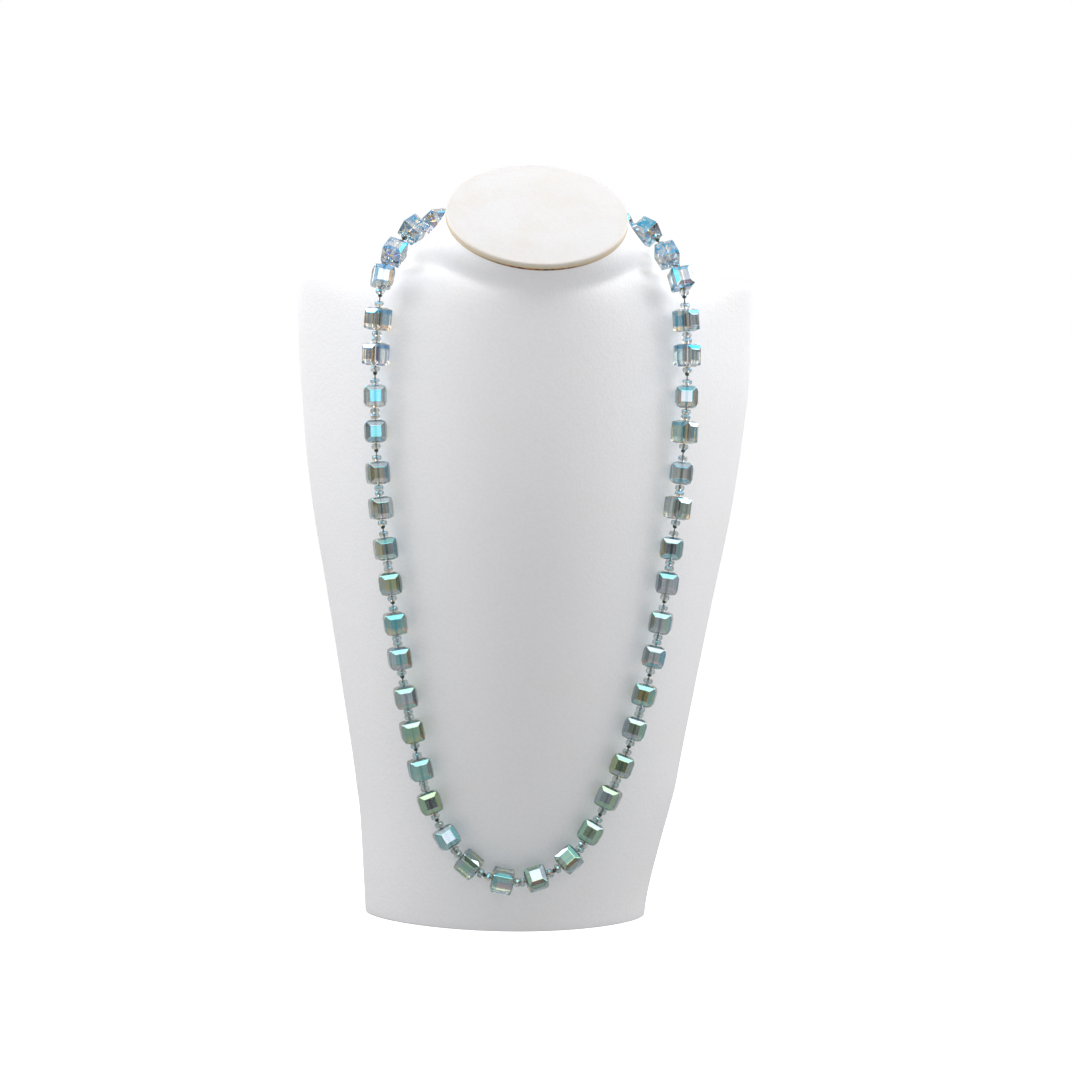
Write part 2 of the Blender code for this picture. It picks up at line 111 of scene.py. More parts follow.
class Graph:
    """A node tree that is filled node by node."""

    def __init__(self, tree: bpy.types.NodeTree) -> None:
        """Empty a tree and start to fill it."""
        self.tree = tree
        tree.nodes.clear()

    def add(self, kind: str, feeds: Feeds, **settings: object) -> bpy.types.Node:
        """Add a node, set its properties, and feed its inputs.

        Args:
            kind: the node's type, such as "ShaderNodeBump".
            feeds: for each input, by name or number, its value or the output that feeds it.
            settings: the node's properties.

        Returns:
            The new node.
        """
        node = self.tree.nodes.new(kind)
        for name, value in settings.items():
            setattr(node, name, value)
        for name, value in feeds.items():
            if isinstance(value, Socket):
                self.tree.links.new(value, node.inputs[name])
            else:
                node.inputs[name].default_value = value
        return node

    def calculate(self, operation: str, *values: object, **settings: object) -> Socket:
        """Calculate with up to three numbers or outputs, and return the outcome."""
        feeds = dict(enumerate(values))
        return self.add("ShaderNodeMath", feeds, operation=operation, **settings).outputs["Value"]

    def spread(
        self,
        value: Socket,
        onto: tuple[float, float],
        over: tuple[float, float] = (0.0, 1.0),
    ) -> Socket:
        """Map a value from one range onto another, and hold it there.

        Args:
            value: the value.
            onto: the outcomes at the two ends.
            over: the values at the two ends.

        Returns:
            The outcome.
        """
        feeds = {"Value": value, "From Min": over[0], "From Max": over[1]}
        feeds.update({"To Min": onto[0], "To Max": onto[1]})
        return self.add("ShaderNodeMapRange", feeds).outputs["Result"]

    def blend(self, share: Socket, first: str | Socket, second: str | Socket, **more: object) -> Socket:
        """Mix two colours.

        Args:
            share: the share of the second.
            first: the first colour, as "#rrggbb" or an output.
            second: the second colour, as "#rrggbb" or an output.
            more: the node's other properties.

        Returns:
            The colour.
        """
        colors = [linear(color) if isinstance(color, str) else color for color in (first, second)]
        feeds = {0: share, 6: colors[0], 7: colors[1]}
        return self.add("ShaderNodeMix", feeds, data_type="RGBA", **more).outputs[2]

    def ray(self, kind: str) -> Socket:
        """Return 1 for rays of this kind, such as "Is Camera Ray", and 0 for others."""
        return self.add("ShaderNodeLightPath", {}).outputs[kind]


class Surface(Graph):
    """The node tree of a new material."""

    def __init__(self, name: str) -> None:
        """Make the material.

        Args:
            name: the material's name.
        """
        self.material = bpy.data.materials.new(name)
        self.material.use_nodes = True
        super().__init__(self.material.node_tree)

    @cached_property
    def place(self) -> Socket:
        """Return the object's own coordinates."""
        return self.add("ShaderNodeTexCoord", {}).outputs["Object"]

    def attribute(self, name: str) -> Socket:
        """Return a number that the mesh carries under this name."""
        return self.add("ShaderNodeAttribute", {}, attribute_name=name).outputs["Fac"]

    def noise(self, cell_mm: float, detail: float, roughness: float = 0.5) -> bpy.types.Node:
        """Add an uneven pattern with cells of this size in the object's own coordinates."""
        feeds = {"Vector": self.place, "Scale": per_mm(cell_mm), "Detail": detail}
        return self.add("ShaderNodeTexNoise", {**feeds, "Roughness": roughness})

    def bump(self, height: Socket, strength: float, depth_mm: float) -> Socket:
        """Turn a pattern into relief of this depth, and return the direction it faces."""
        feeds = {"Strength": strength, "Distance": depth_mm * MM, "Height": height}
        return self.add("ShaderNodeBump", feeds).outputs["Normal"]

    def principled(self, feeds: Feeds) -> Socket:
        """Add the main shader with these inputs, and return its output."""
        return self.add("ShaderNodeBsdfPrincipled", feeds).outputs["BSDF"]

    def finish(self, shader: Socket) -> bpy.types.Material:
        """Close the tree with the shader that the surface shows, and return the material."""
        self.add("ShaderNodeOutputMaterial", {"Surface": shader})
        return self.material


@dataclass(frozen=True)
class Leatherette:
    """Leatherette: vinyl film on a knitted back, embossed with a fine pebble grain.

    Embossing leaves low round pebbles with creases between them, which break up the
    gloss. Handling and age yellow it in soft patches.
    """

    name: str
    color: str
    aged_and_shaded: str
    aging: float
    roughness: float
    gloss_range: float = 0.08
    pebble_mm: float = 1.3
    pebble_smoothness: float = 0.35
    pebble_reach: float = 0.7
    pebble_shade: float = 0.965
    drift_mm: float = 5.0
    drift_reach_mm: float = 1.2
    crease_mm: float = 3.0
    crease_height: float = 1.4
    patch_mm: float = 34.0
    patch_range: tuple[float, float] = (0.42, 0.72)
    relief: float = 0.26
    relief_mm: float = 0.25

    def material(self) -> bpy.types.Material:
        """Return the finish as a material."""
        surface = Surface(self.name)
        pebbles = surface.add(
            "ShaderNodeTexVoronoi",
            {
                "Vector": self.warped(surface),
                "Scale": per_mm(self.pebble_mm),
                "Smoothness": self.pebble_smoothness,
            },
            feature="SMOOTH_F1",
        ).outputs["Distance"]
        creases = surface.noise(self.crease_mm, detail=5.0, roughness=0.62).outputs["Fac"]
        height = surface.calculate("MULTIPLY_ADD", creases, self.crease_height, pebbles)
        dull_to_glossy = (self.roughness + self.gloss_range, self.roughness - self.gloss_range)
        shader = surface.principled(
            {
                "Base Color": self.tint(surface, pebbles),
                "Roughness": surface.spread(creases, dull_to_glossy),
                "IOR": 1.48,
                "Specular IOR Level": 0.35,
                "Sheen Weight": 0.05,
                "Sheen Roughness": 0.6,
                "Normal": surface.bump(height, self.relief, self.relief_mm),
            }
        )
        return surface.finish(shader)

    def warped(self, surface: Surface) -> Socket:
        """Pull the pebbles out of line a little, as the embossing roller's pattern is.

        Args:
            surface: the material's tree.

        Returns:
            The warped coordinates.
        """
        drift = surface.noise(self.drift_mm, detail=1.0).outputs["Color"]
        reach = (self.drift_reach_mm * MM,) * 3
        moved = surface.add(
            "ShaderNodeVectorMath", {0: drift, 1: reach, 2: surface.place}, operation="MULTIPLY_ADD"
        )
        return moved.outputs["Vector"]

    def tint(self, surface: Surface, pebbles: Socket) -> Socket:
        """Mix the clean colour and the aged_and_shaded colour: in soft patches, and as painted shade
        and yellowing where the darkening attribute says.

        Args:
            surface: the material's tree.
            pebbles: the distance from the middle of a pebble.

        Returns:
            The colour.
        """
        patches = surface.noise(self.patch_mm, detail=4.0, roughness=0.6).outputs["Fac"]
        uneven = surface.spread(patches, (0.0, self.aging), self.patch_range)
        # On the neck panel the darkening attribute adds the tan colour as painted shade and yellowing
        # along the lower edge and underside.
        share = surface.calculate("ADD", surface.attribute("wear"), uneven, use_clamp=True)
        aged_and_shaded = surface.blend(share, self.color, self.aged_and_shaded)
        # Painted shade: the colour darkens a little away from each pebble's middle, in the creases
        # between pebbles.
        crease_shade = surface.spread(pebbles, (1.0, self.pebble_shade), (0.0, self.pebble_reach))
        shaded = surface.add("ShaderNodeVectorMath", {0: aged_and_shaded, "Scale": crease_shade}, operation="SCALE")
        return shaded.outputs["Vector"]


@dataclass(frozen=True)
class CoatedGlass:
    """Pressed and polished glass with an iridescent oxide coating fired onto it.

    The coating is a film thinner than light's wavelength. It reflects mint, teal or sky
    blue as it thickens or tilts, silver where it is thinnest, and what passes through it
    turns smoky, violet or amber from one facet to the next.
    """

    name: str
    tints: tuple[tuple[float, str], ...]
    film_thin: float
    film_thick: float
    smoke: str
    film_silver: float = 0.0
    shade: str = "#ebeeee"
    bare: float = 0.38
    film_ior: float = 2.55
    roughness: float = 0.015
    facet_share: float = 0.25

    def material(self) -> bpy.types.Material:
        """Return the finish as a material."""
        surface = Surface(self.name)
        tone = surface.attribute("tone")
        facet = surface.attribute("facet")
        uneven = surface.calculate("MULTIPLY_ADD", facet, self.facet_share, tone)
        film = surface.spread(
            uneven, (self.film_thin, self.film_thick), (0.0, 1.0 + self.facet_share)
        )
        coated = surface.calculate("GREATER_THAN", facet, self.bare)
        thickness = surface.add(
            "ShaderNodeMix", {0: coated, 2: self.film_silver, 3: film}, data_type="FLOAT"
        )
        glass = surface.principled(
            {
                "Base Color": self.tint(surface, facet, tone),
                "Roughness": self.roughness,
                "IOR": 1.52,
                "Transmission Weight": 1.0,
                "Thin Film Thickness": thickness.outputs[0],
                "Thin Film IOR": self.film_ior,
            }
        )
        return surface.finish(self.light_through(surface, glass))

    def tint(self, surface: Surface, facet: Socket, tone: Socket) -> Socket:
        """Give each facet the tint that its place on the ramp has, smokier with the bead's tone.

        Args:
            surface: the material's tree.
            facet: the facet's own random value.
            tone: the bead's own value.

        Returns:
            The colour.
        """
        node = surface.add("ShaderNodeValToRGB", {"Fac": facet})
        stops = node.color_ramp.elements
        while len(stops) < len(self.tints):
            stops.new(1.0)
        for stop, (position, color) in zip(stops, self.tints):
            stop.position = position
            stop.color = linear(color)
        return surface.blend(tone, node.outputs["Color"], self.smoke, blend_type="MULTIPLY")

    def light_through(self, surface: Surface, glass: Socket) -> Socket:
        """Let part of the lamps' light through, so that the glass casts a pale shadow.

        Args:
            surface: the material's tree.
            glass: the glass as it is seen.

        Returns:
            The finished surface.
        """
        passing = surface.add("ShaderNodeBsdfTransparent", {"Color": linear(self.shade)})
        feeds = {0: surface.ray("Is Shadow Ray"), 1: glass, 2: passing.outputs["BSDF"]}
        return surface.add("ShaderNodeMixShader", feeds).outputs["Shader"]


@dataclass(frozen=True)
class TwistedThread:
    """Nylon beading thread, dyed and twisted from two plies of fine filaments."""

    name: str
    color: str
    faded: str
    filament_mm: float = 0.12
    relief: float = 0.4
    relief_mm: float = 0.05

    def material(self) -> bpy.types.Material:
        """Return the finish as a material."""
        surface = Surface(self.name)
        filaments = surface.noise(self.filament_mm, detail=3.0).outputs["Fac"]
        shader = surface.principled(
            {
                "Base Color": surface.blend(filaments, self.color, self.faded),
                "Roughness": 0.5,
                "Sheen Weight": 0.2,
                "Normal": surface.bump(filaments, self.relief, self.relief_mm),
            }
        )
        return surface.finish(shader)


@dataclass(frozen=True)
class AgedGlue:
    """Contact glue squeezed out of a joint, clear when laid and brown with age.

    It sets with a glossy skin. Where more came out it has darkened to amber and brown.
    """

    name: str
    pale: str
    amber: str
    dark: str
    blotch_mm: float = 2.6
    blotch_range: tuple[float, float] = (0.42, 0.58)

    def material(self) -> bpy.types.Material:
        """Return the finish as a material."""
        surface = Surface(self.name)
        blotches = surface.noise(self.blotch_mm, detail=3.0).outputs["Fac"]
        stained = surface.spread(blotches, (0.0, 1.0), self.blotch_range)
        brown = surface.blend(stained, self.dark, self.amber)
        color = surface.blend(surface.attribute("wear"), self.pale, brown)
        return surface.finish(
            surface.principled({"Base Color": color, "Roughness": 0.35, "IOR": 1.5})
        )


WHITE_LEATHERETTE = Leatherette(
    name="white_embossed_leatherette", color="#ececef", aged_and_shaded="#e9e4dc", aging=0.2, roughness=0.52
)
# The neck panel's finish: besides yellowing, its tan colour also stands for painted shade along the
# panel's lower edge and underside.
CREAM_LEATHERETTE = Leatherette(
    name="yellowed_embossed_leatherette", color="#e3e2e3", aged_and_shaded="#cfb98f", aging=0.24, roughness=0.5
)
SQUARE_BEAD_GLASS = CoatedGlass(
    name="iridescent_coated_smoky_glass",
    tints=(
        (0.0, "#d9dedc"),
        (0.5, "#6f7877"),
        (0.68, "#aaa0cf"),
        (0.76, "#a9b0ae"),
        (0.83, "#cf983a"),
        (0.93, "#d6a74e"),
        (0.97, "#d9d8ca"),
    ),
    smoke="#87968f",
    film_thin=121.0,
    film_thick=160.0,
    film_silver=32.0,
)
SMALL_BEAD_GLASS = CoatedGlass(
    name="iridescent_coated_clear_glass",
    tints=((0.0, "#eceeee"), (0.8, "#c6cccf"), (0.92, "#e2cfa8")),
    smoke="#ccd4d6",
    film_thin=118.0,
    film_thick=150.0,
    bare=0.5,
)
AGED_GLUE = AgedGlue(name="browned_contact_glue", pale="#b9a88c", amber="#9a6426", dark="#2e2019")
GREEN_THREAD = TwistedThread(name="dyed_twisted_nylon", color="#0a2f29", faded="#1f4a40")


def put(name: str, data: bpy.types.ID) -> bpy.types.Object:
    """Put a mesh, a light or a camera in the scene.

    Args:
        name: the object's name.
        data: what it shows.

    Returns:
        The object, at the origin.
    """
    item = bpy.data.objects.new(name, data)
    bpy.context.scene.collection.objects.link(item)
    return item


def new_object(name: str, mesh: bpy.types.Mesh, material: bpy.types.Material) -> bpy.types.Object:
    """Put a mesh in the scene as an object of one material.

    Args:
        name: the object's name.
        mesh: its mesh.
        material: its material.

    Returns:
        The object, at the origin.
    """
    mesh.materials.clear()
    mesh.materials.append(material)
    return put(name, mesh)


def into_mesh(name: str, shape: bmesh.types.BMesh) -> bpy.types.Mesh:
    """Turn an edited shape into a mesh.

    Args:
        name: the mesh's name.
        shape: the shape, which is freed.

    Returns:
        The mesh.
    """
    mesh = bpy.data.meshes.new(name)
    shape.to_mesh(mesh)
    shape.free()
    return mesh


def angles(count: int, offset: float = 0.0) -> list[float]:
    """List a full turn's even steps in radians, the first turned by a share of a step."""
    return [math.tau * (step + offset) / count for step in range(count)]


def skin(name: str, rings: list[list[Vector]], endless: bool = False) -> bpy.types.Mesh:
    """Skin rings of equal count, smooth except at the sharp edges of a shape with ends.

    Args:
        name: the mesh's name.
        rings: the rings, each a list of points in turn.
        endless: whether the last ring joins the first. Flat faces close it otherwise.

    Returns:
        The mesh.
    """
    shape = bmesh.new()
    loops = [[shape.verts.new(point) for point in ring] for ring in rings]
    if endless:
        loops.append(loops[0])
    else:
        shape.faces.new(reversed(loops[0]))
        shape.faces.new(loops[-1])
    for lower, upper in zip(loops, loops[1:]):
        for index in range(len(lower)):
            after = (index + 1) % len(lower)
            shape.faces.new((lower[index], lower[after], upper[after], upper[index]))
    bmesh.ops.recalc_face_normals(shape, faces=shape.faces)
    mesh = into_mesh(name, shape)
    mesh.shade_smooth()
    if not endless:
        mesh.set_sharp_from_angle(angle=math.radians(SHARP_ANGLE))
    return mesh


def mix(start: float, end: float, share: float) -> float:
    """Find the value at this share of the way from start to end."""
    return start + (end - start) * share


def smooth(share: float) -> float:
    """Ease a share in and out, held between 0 and 1."""
    share = min(max(share, 0.0), 1.0)
    return share * share * (3.0 - 2.0 * share)


def point_at(points: list[Vector], marks: list[float], mark: float) -> Vector:
    """Find the point at a length along a line of points.

    Args:
        points: the line's points.
        marks: the length along the line at each point.
        mark: the length that is looked for.

    Returns:
        The point, on the straight stretch between its two neighbours.
    """
    index = min(max(bisect.bisect_right(marks, mark) - 1, 0), len(points) - 2)
    stretch = marks[index + 1] - marks[index]
    if stretch <= 0.0:
        return points[index]
    return points[index].lerp(points[index + 1], (mark - marks[index]) / stretch)


@dataclass(frozen=True)
class ChestSection:
    """One level of the chest, in shares of the bust's sizes.

    Height, width and depth are shares of the shoulder height, the shoulder width and the
    chest depth. A higher dome falls away faster to the sides. The dip is the slope by
    which the level drops toward the front.
    """

    height: float
    width: float
    depth: float
    dome: float
    dip: float


@dataclass(frozen=True)
class BustRing:
    """Sizes of one level ring of the bust. Forward is measured from the back plane."""

    level: float
    half_width: float
    crest: float
    side: float
    back: float
    dome: float
    corner: float
    back_power: float
    dip: float
    rear_lift: float = 0.0


@dataclass(frozen=True)
class PanelRow:
    """One oval of the neck's panel: its inset, its share of the rest, its rise, its darkening (painted
    shade and yellowing).
    """

    inset: float
    share: float
    rise: float
    wear: float


@dataclass
class NeckBust:
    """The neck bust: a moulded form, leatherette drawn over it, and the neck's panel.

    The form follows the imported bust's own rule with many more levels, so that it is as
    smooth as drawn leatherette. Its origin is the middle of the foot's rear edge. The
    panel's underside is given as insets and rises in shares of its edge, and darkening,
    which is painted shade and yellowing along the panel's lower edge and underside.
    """

    origin: Vector
    shoulder_height: float = 290.0 * MM
    shoulder_width: float = 205.0 * MM
    thickness: float = 26.0 * MM
    corner_radius: float = 4.0 * MM
    corner_power: float = 0.5
    foot_radius: float = 0.9 * MM
    chest_depth: float = 88.0 * MM
    chest_bow: float = 3.7 * MM
    bow_end: float = 0.22
    sway_start: float = 0.75
    neck_width: float = 80.0 * MM
    neck_length: float = 76.0 * MM
    neck_slant: float = math.radians(36.6)
    neck_rise: float = 24.5 * MM
    neck_flare: float = 42.0 * MM
    neck_forward: float = 54.0 * MM
    neck_shift: float = 4.0 * MM
    neck_dome: float = 0.5
    flare_powers: tuple[float, float] = (0.5, 1.2)
    rounding_power: int = 8
    back_powers: tuple[float, float] = (6.0, 2.0)
    bend_ease: float = 18.0 * MM
    bend_full_to: float = 30.0
    bend_fades_over: float = 50.0
    bend_least: float = 0.1 * MM
    bend_taps: int = 8
    bend_spread: float = 4.0
    panel_thickness: float = 3.0 * MM
    panel_edge: float = 0.9 * MM
    panel_crown: float = 0.7 * MM
    panel_gap: float = 0.3 * MM
    # Underside ovals: inset and rise in shares of the edge, and darkening, full tan as painted shade in
    # the crevice under the panel as well as yellowing.
    underside: tuple[tuple[float, float, float], ...] = ((0.9, 0.0, 1.0), (0.3, 0.3, 0.85))
    crown_reach: float = 0.99
    crown_power: float = 1.7
    crown_slope: float = 2.5
    # Painted shade and yellowing: tan on the rounded lower edge, fading up onto the face and weaker
    # towards the rear.
    edge_yellowing_and_shade: tuple[float, float] = (0.4, 0.06)
    face_yellowing_and_shade: float = 0.08
    face_yellowing_and_shade_reach: float = 0.03
    rear_yellowing_and_shade: float = 0.25
    front_fade: tuple[float, float] = (0.5, 0.8)
    lip_radius: float = 0.6 * MM
    lip_seat: tuple[float, float] = (0.45 * MM, -0.42 * MM)
    glue_radius: float = 0.6 * MM
    glue_seat: tuple[float, float] = (0.55 * MM, 0.22 * MM)
    glue_stain: tuple[float, float, float] = (1.3, 1.9, 0.05)
    front_steps: int = 96
    back_steps: int = 60
    foot_levels: int = 4
    chest_levels: int = 84
    corner_levels: int = 7
    neck_levels: int = 44
    oval_steps: int = 144
    edge_steps: int = 8
    crown_steps: int = 14
    tube_sides: int = 8
    sections: tuple[ChestSection, ...] = (
        ChestSection(0.00, 0.623, 0.680, 0.75, 0.00),
        ChestSection(0.10, 0.659, 0.730, 0.80, 0.00),
        ChestSection(0.20, 0.710, 0.800, 0.85, 0.00),
        ChestSection(0.35, 0.780, 0.900, 0.90, 0.00),
        ChestSection(0.50, 0.855, 0.965, 0.95, 0.00),
        ChestSection(0.65, 0.932, 1.000, 1.05, 0.00),
        ChestSection(0.80, 0.981, 0.970, 1.10, 0.03),
        ChestSection(0.90, 0.997, 0.930, 1.17, 0.17),
        ChestSection(0.97, 1.000, 0.900, 1.23, 0.40),
        ChestSection(1.00, 1.000, 0.890, 1.25, 0.50),
    )

    def section(self, height: float) -> ChestSection:
        """Read the table of sections at any height by a smooth curve.

        Args:
            height: the share of the shoulder height.

        Returns:
            The section there.
        """
        rows = self.sections
        last = len(rows) - 1
        index = 0
        while index < last - 1 and height > rows[index + 1].height:
            index += 1
        start, end = rows[index], rows[index + 1]
        share = (height - start.height) / (end.height - start.height)
        square, cube = share ** 2, share ** 3
        weights = (
            -0.5 * (cube - 2.0 * square + share),
            2.0 * cube - 3.0 * square + 1.0 - 0.5 * (cube - square),
            3.0 * square - 2.0 * cube + 0.5 * (cube - 2.0 * square + share),
            0.5 * (cube - square),
        )
        near = (rows[max(index - 1, 0)], start, end, rows[min(index + 2, last)])
        table = zip(*(astuple(row) for row in near))
        values = [sum(weight * value for weight, value in zip(weights, column)) for column in table]
        return ChestSection(height, *values[1:])

    def sway(self, level: float) -> float:
        """Work out how far a level is shifted sideways.

        Args:
            level: the height over the foot.

        Returns:
            The chest's bow and the neck's lean together.
        """
        start = self.sway_start * self.shoulder_height
        full = self.shoulder_height + self.neck_rise
        lean = smooth((level - start) / (full - start))
        share = level / self.shoulder_height
        bow = smooth(share / self.bow_end) * smooth((1.0 - share) / self.bow_end)
        return self.neck_shift * lean + self.chest_bow * bow

    def ring_points(self, ring: BustRing) -> list[Vector]:
        """Work out one ring: the domed front from left to right, then the back.

        Args:
            ring: the ring's sizes.

        Returns:
            The ring's points.
        """
        points = []
        bulge = ring.crest - ring.side - ring.corner
        for step in range(self.front_steps + 1):
            angle = math.radians(-90.0 + 180.0 * step / self.front_steps)
            reach = max(math.cos(angle), 0.0)
            corner = ring.corner * reach ** self.corner_power
            forward = ring.side + corner + bulge * reach ** (2.0 * ring.dome)
            points.append(Vector((ring.half_width * math.sin(angle), -forward, 0.0)))
        for step in range(1, self.back_steps):
            angle = math.pi * step / self.back_steps
            across = math.copysign(abs(math.cos(angle)) ** (2.0 / ring.back_power), math.cos(angle))
            rearward = math.sin(angle) ** (2.0 / ring.back_power)
            depth = mix(ring.side, ring.back, rearward)
            points.append(Vector((ring.half_width * across, -depth, 0.0)))
        for point in points:
            offset = point.y + self.neck_forward
            slope = ring.dip if offset < 0.0 else ring.rear_lift
            point.z = ring.level + slope * offset
            point.x += self.sway(ring.level)
        return [point + self.origin for point in points]

    def chest_rings(self) -> list[BustRing]:
        """List the rings from the rounded foot to the top of the shoulders."""
        half = self.thickness / 2.0
        rise = self.shoulder_height - self.corner_radius
        levels = []
        for step in range(self.foot_levels):
            turn = math.radians(90.0 * step / self.foot_levels)
            inset = self.foot_radius * (1.0 - math.sin(turn))
            levels.append((self.foot_radius * (1.0 - math.cos(turn)), 0.0, inset))
        for step in range(self.chest_levels + 1):
            level = mix(self.foot_radius, rise, step / self.chest_levels)
            levels.append((level, 0.0, 0.0))
        for step in range(1, self.corner_levels + 1):
            turn = math.radians(90.0 * step / self.corner_levels)
            taken_off = self.corner_radius * (1.0 - math.cos(turn))
            levels.append((rise + self.corner_radius * math.sin(turn), taken_off, 0.0))
        rings = []
        for level, taken_off, inset in levels:
            section = self.section(level / self.shoulder_height)
            rings.append(
                BustRing(
                    level=level,
                    half_width=section.width * self.shoulder_width / 2.0 - taken_off - inset,
                    crest=section.depth * self.chest_depth - inset,
                    side=half,
                    back=inset,
                    dome=section.dome,
                    corner=half,
                    back_power=self.back_powers[0],
                    dip=max(section.dip, 0.0),
                )
            )
        return rings

    def neck_rings(self) -> list[BustRing]:
        """List the rings from the shoulders to the slanted top of the neck."""
        half = self.thickness / 2.0
        half_depth = self.neck_length * math.cos(self.neck_slant) / 2.0
        slope = math.tan(self.neck_slant)
        shoulder = self.section(1.0)
        start_power, end_power = self.flare_powers
        rings = []
        for step in range(self.neck_levels + 1):
            share = (step / self.neck_levels) ** 2
            late = share ** 2
            turned = 1.0 - (1.0 - share) ** 2
            rounded = 1.0 - (1.0 - share) ** self.rounding_power
            flare = (1.0 - share ** start_power) ** end_power
            rings.append(
                BustRing(
                    level=self.shoulder_height + self.neck_rise * share,
                    half_width=self.neck_width / 2.0 + self.neck_flare * flare,
                    crest=mix(shoulder.depth * self.chest_depth, self.neck_forward + half_depth, late),
                    side=mix(half, self.neck_forward, turned),
                    back=mix(0.0, self.neck_forward - half_depth, turned),
                    dome=mix(shoulder.dome, self.neck_dome, turned),
                    corner=mix(half, 0.0, turned),
                    back_power=mix(*self.back_powers, rounded),
                    dip=mix(shoulder.dip, slope, turned),
                    rear_lift=mix(0.0, slope, late),
                )
            )
        return rings

    def draw_over(self, index: int, column: list[Vector]) -> list[Vector]:
        """Draw the leatherette in one soft sweep over the bend between chest and neck.

        Args:
            index: the column's place in a ring, counted from the left of the front.
            column: one column of points, from the foot to the neck's top.

        Returns:
            The column with its bend eased, most at the middle of the front.
        """
        if index > self.front_steps:
            return column
        turn = abs(180.0 * index / self.front_steps - 90.0)
        ease = self.bend_ease * (1.0 - smooth((turn - self.bend_full_to) / self.bend_fades_over))
        if ease < self.bend_least:
            return column
        marks = [0.0]
        for before, after in zip(column, column[1:]):
            marks.append(marks[-1] + (after - before).length)
        drawn = []
        for mark, point in zip(marks, column):
            room = min(mark, marks[-1] - mark) / 2.0
            reach = min(ease, room)
            if reach < self.bend_least:
                drawn.append(point)
                continue
            total = Vector()
            weights = 0.0
            for step in range(-self.bend_taps, self.bend_taps + 1):
                weight = math.exp(-0.5 * (step / self.bend_spread) ** 2)
                total += weight * point_at(column, marks, mark + reach * step / self.bend_spread)
                weights += weight
            drawn.append(total / weights)
        return drawn

    def build_body(self) -> bpy.types.Object:
        """Draw the leatherette over the chest, the shoulders and the neck."""
        rings = [self.ring_points(ring) for ring in self.chest_rings() + self.neck_rings()]
        columns = [list(column) for column in zip(*rings)]
        drawn = [self.draw_over(index, column) for index, column in enumerate(columns)]
        mesh = skin("bust_leather", [list(ring) for ring in zip(*drawn)])
        return new_object("bust_leather", mesh, WHITE_LEATHERETTE.material())

    def on_rim(self, turn: float, inset: float, rise: float, share: float = 1.0) -> Vector:
        """Place a point on an oval beside the rim of the neck's slanted top.

        Args:
            turn: the way round the oval, in radians from its right end.
            inset: how far the oval lies inside the rim.
            rise: the height over the slant.
            share: the oval's size as a share of what the inset leaves.

        Returns:
            The point.
        """
        across = share * (self.neck_width / 2.0 - inset) * math.cos(turn)
        along = share * (self.neck_length / 2.0 - inset) * math.sin(turn)
        seat = Vector((self.neck_shift, -self.neck_forward, self.shoulder_height + self.neck_rise))
        tilt = Matrix.Rotation(self.neck_slant, 3, "X")
        return self.origin + seat + tilt @ Vector((across, along, rise))

    def panel_rows(self) -> list[PanelRow]:
        """List the panel's ovals: its underside, its rounded edge, its padded face."""
        edge = self.panel_edge
        top = self.panel_gap + self.panel_thickness
        rows = []
        for inset, rise, wear in self.underside:
            rows.append(PanelRow(edge * inset, 1.0, self.panel_gap + rise * edge, wear))
        for step in range(self.edge_steps + 1):
            turn = math.radians(90.0 * step / self.edge_steps)
            rise = top - edge + edge * math.sin(turn)
            wear = mix(*self.edge_yellowing_and_shade, step / self.edge_steps)
            rows.append(PanelRow(edge * (1.0 - math.cos(turn)), 1.0, rise, wear))
        for step in range(1, self.crown_steps + 1):
            share = 1.0 - self.crown_reach * (step / self.crown_steps) ** self.crown_power
            crown = self.panel_crown * smooth(self.crown_slope * (1.0 - share))
            wear = self.face_yellowing_and_shade * math.exp(-(1.0 - share) / self.face_yellowing_and_shade_reach)
            rows.append(PanelRow(edge, share, top + crown, wear))
        return rows

    def build_panel(self) -> bpy.types.Object:
        """Build the oval panel that closes the neck, padded a little under its leatherette."""
        rows = self.panel_rows()
        turns = angles(self.oval_steps)
        middle, slope = self.front_fade
        rings = [[self.on_rim(turn, row.inset, row.rise, row.share) for turn in turns] for row in rows]
        mesh = skin("neck_panel", rings)
        # Painted shade and yellowing: each row's darkening, strongest at the front, tints the panel's
        # underside and lower edge tan.
        shade = mesh.attributes.new("wear", "FLOAT", "POINT")
        for index, entry in enumerate(shade.data):
            front = smooth(middle - slope * math.sin(turns[index % self.oval_steps]))
            entry.value = rows[index // self.oval_steps].wear * mix(self.rear_yellowing_and_shade, 1.0, front)
        return new_object("neck_panel", mesh, CREAM_LEATHERETTE.material())

    def rim_tube(self, name: str, radius: float, seat: tuple[float, float]) -> bpy.types.Mesh:
        """Sweep a thin round tube along an oval beside the rim.

        Args:
            name: the mesh's name.
            radius: the tube's radius.
            seat: how far the tube's middle lies inside the rim, and its height over the slant.

        Returns:
            The mesh.
        """
        inset, rise = seat
        rings = []
        for turn in angles(self.oval_steps):
            ring = []
            for angle in angles(self.tube_sides):
                inside = inset - radius * math.cos(angle)
                ring.append(self.on_rim(turn, inside, rise + radius * math.sin(angle)))
            rings.append(ring)
        return skin(name, rings, endless=True)

    def build_lip(self) -> bpy.types.Object:
        """Build the folded edge of the neck's leatherette, under the panel."""
        mesh = self.rim_tube("neck_lip", self.lip_radius, self.lip_seat)
        return new_object("neck_lip", mesh, WHITE_LEATHERETTE.material())

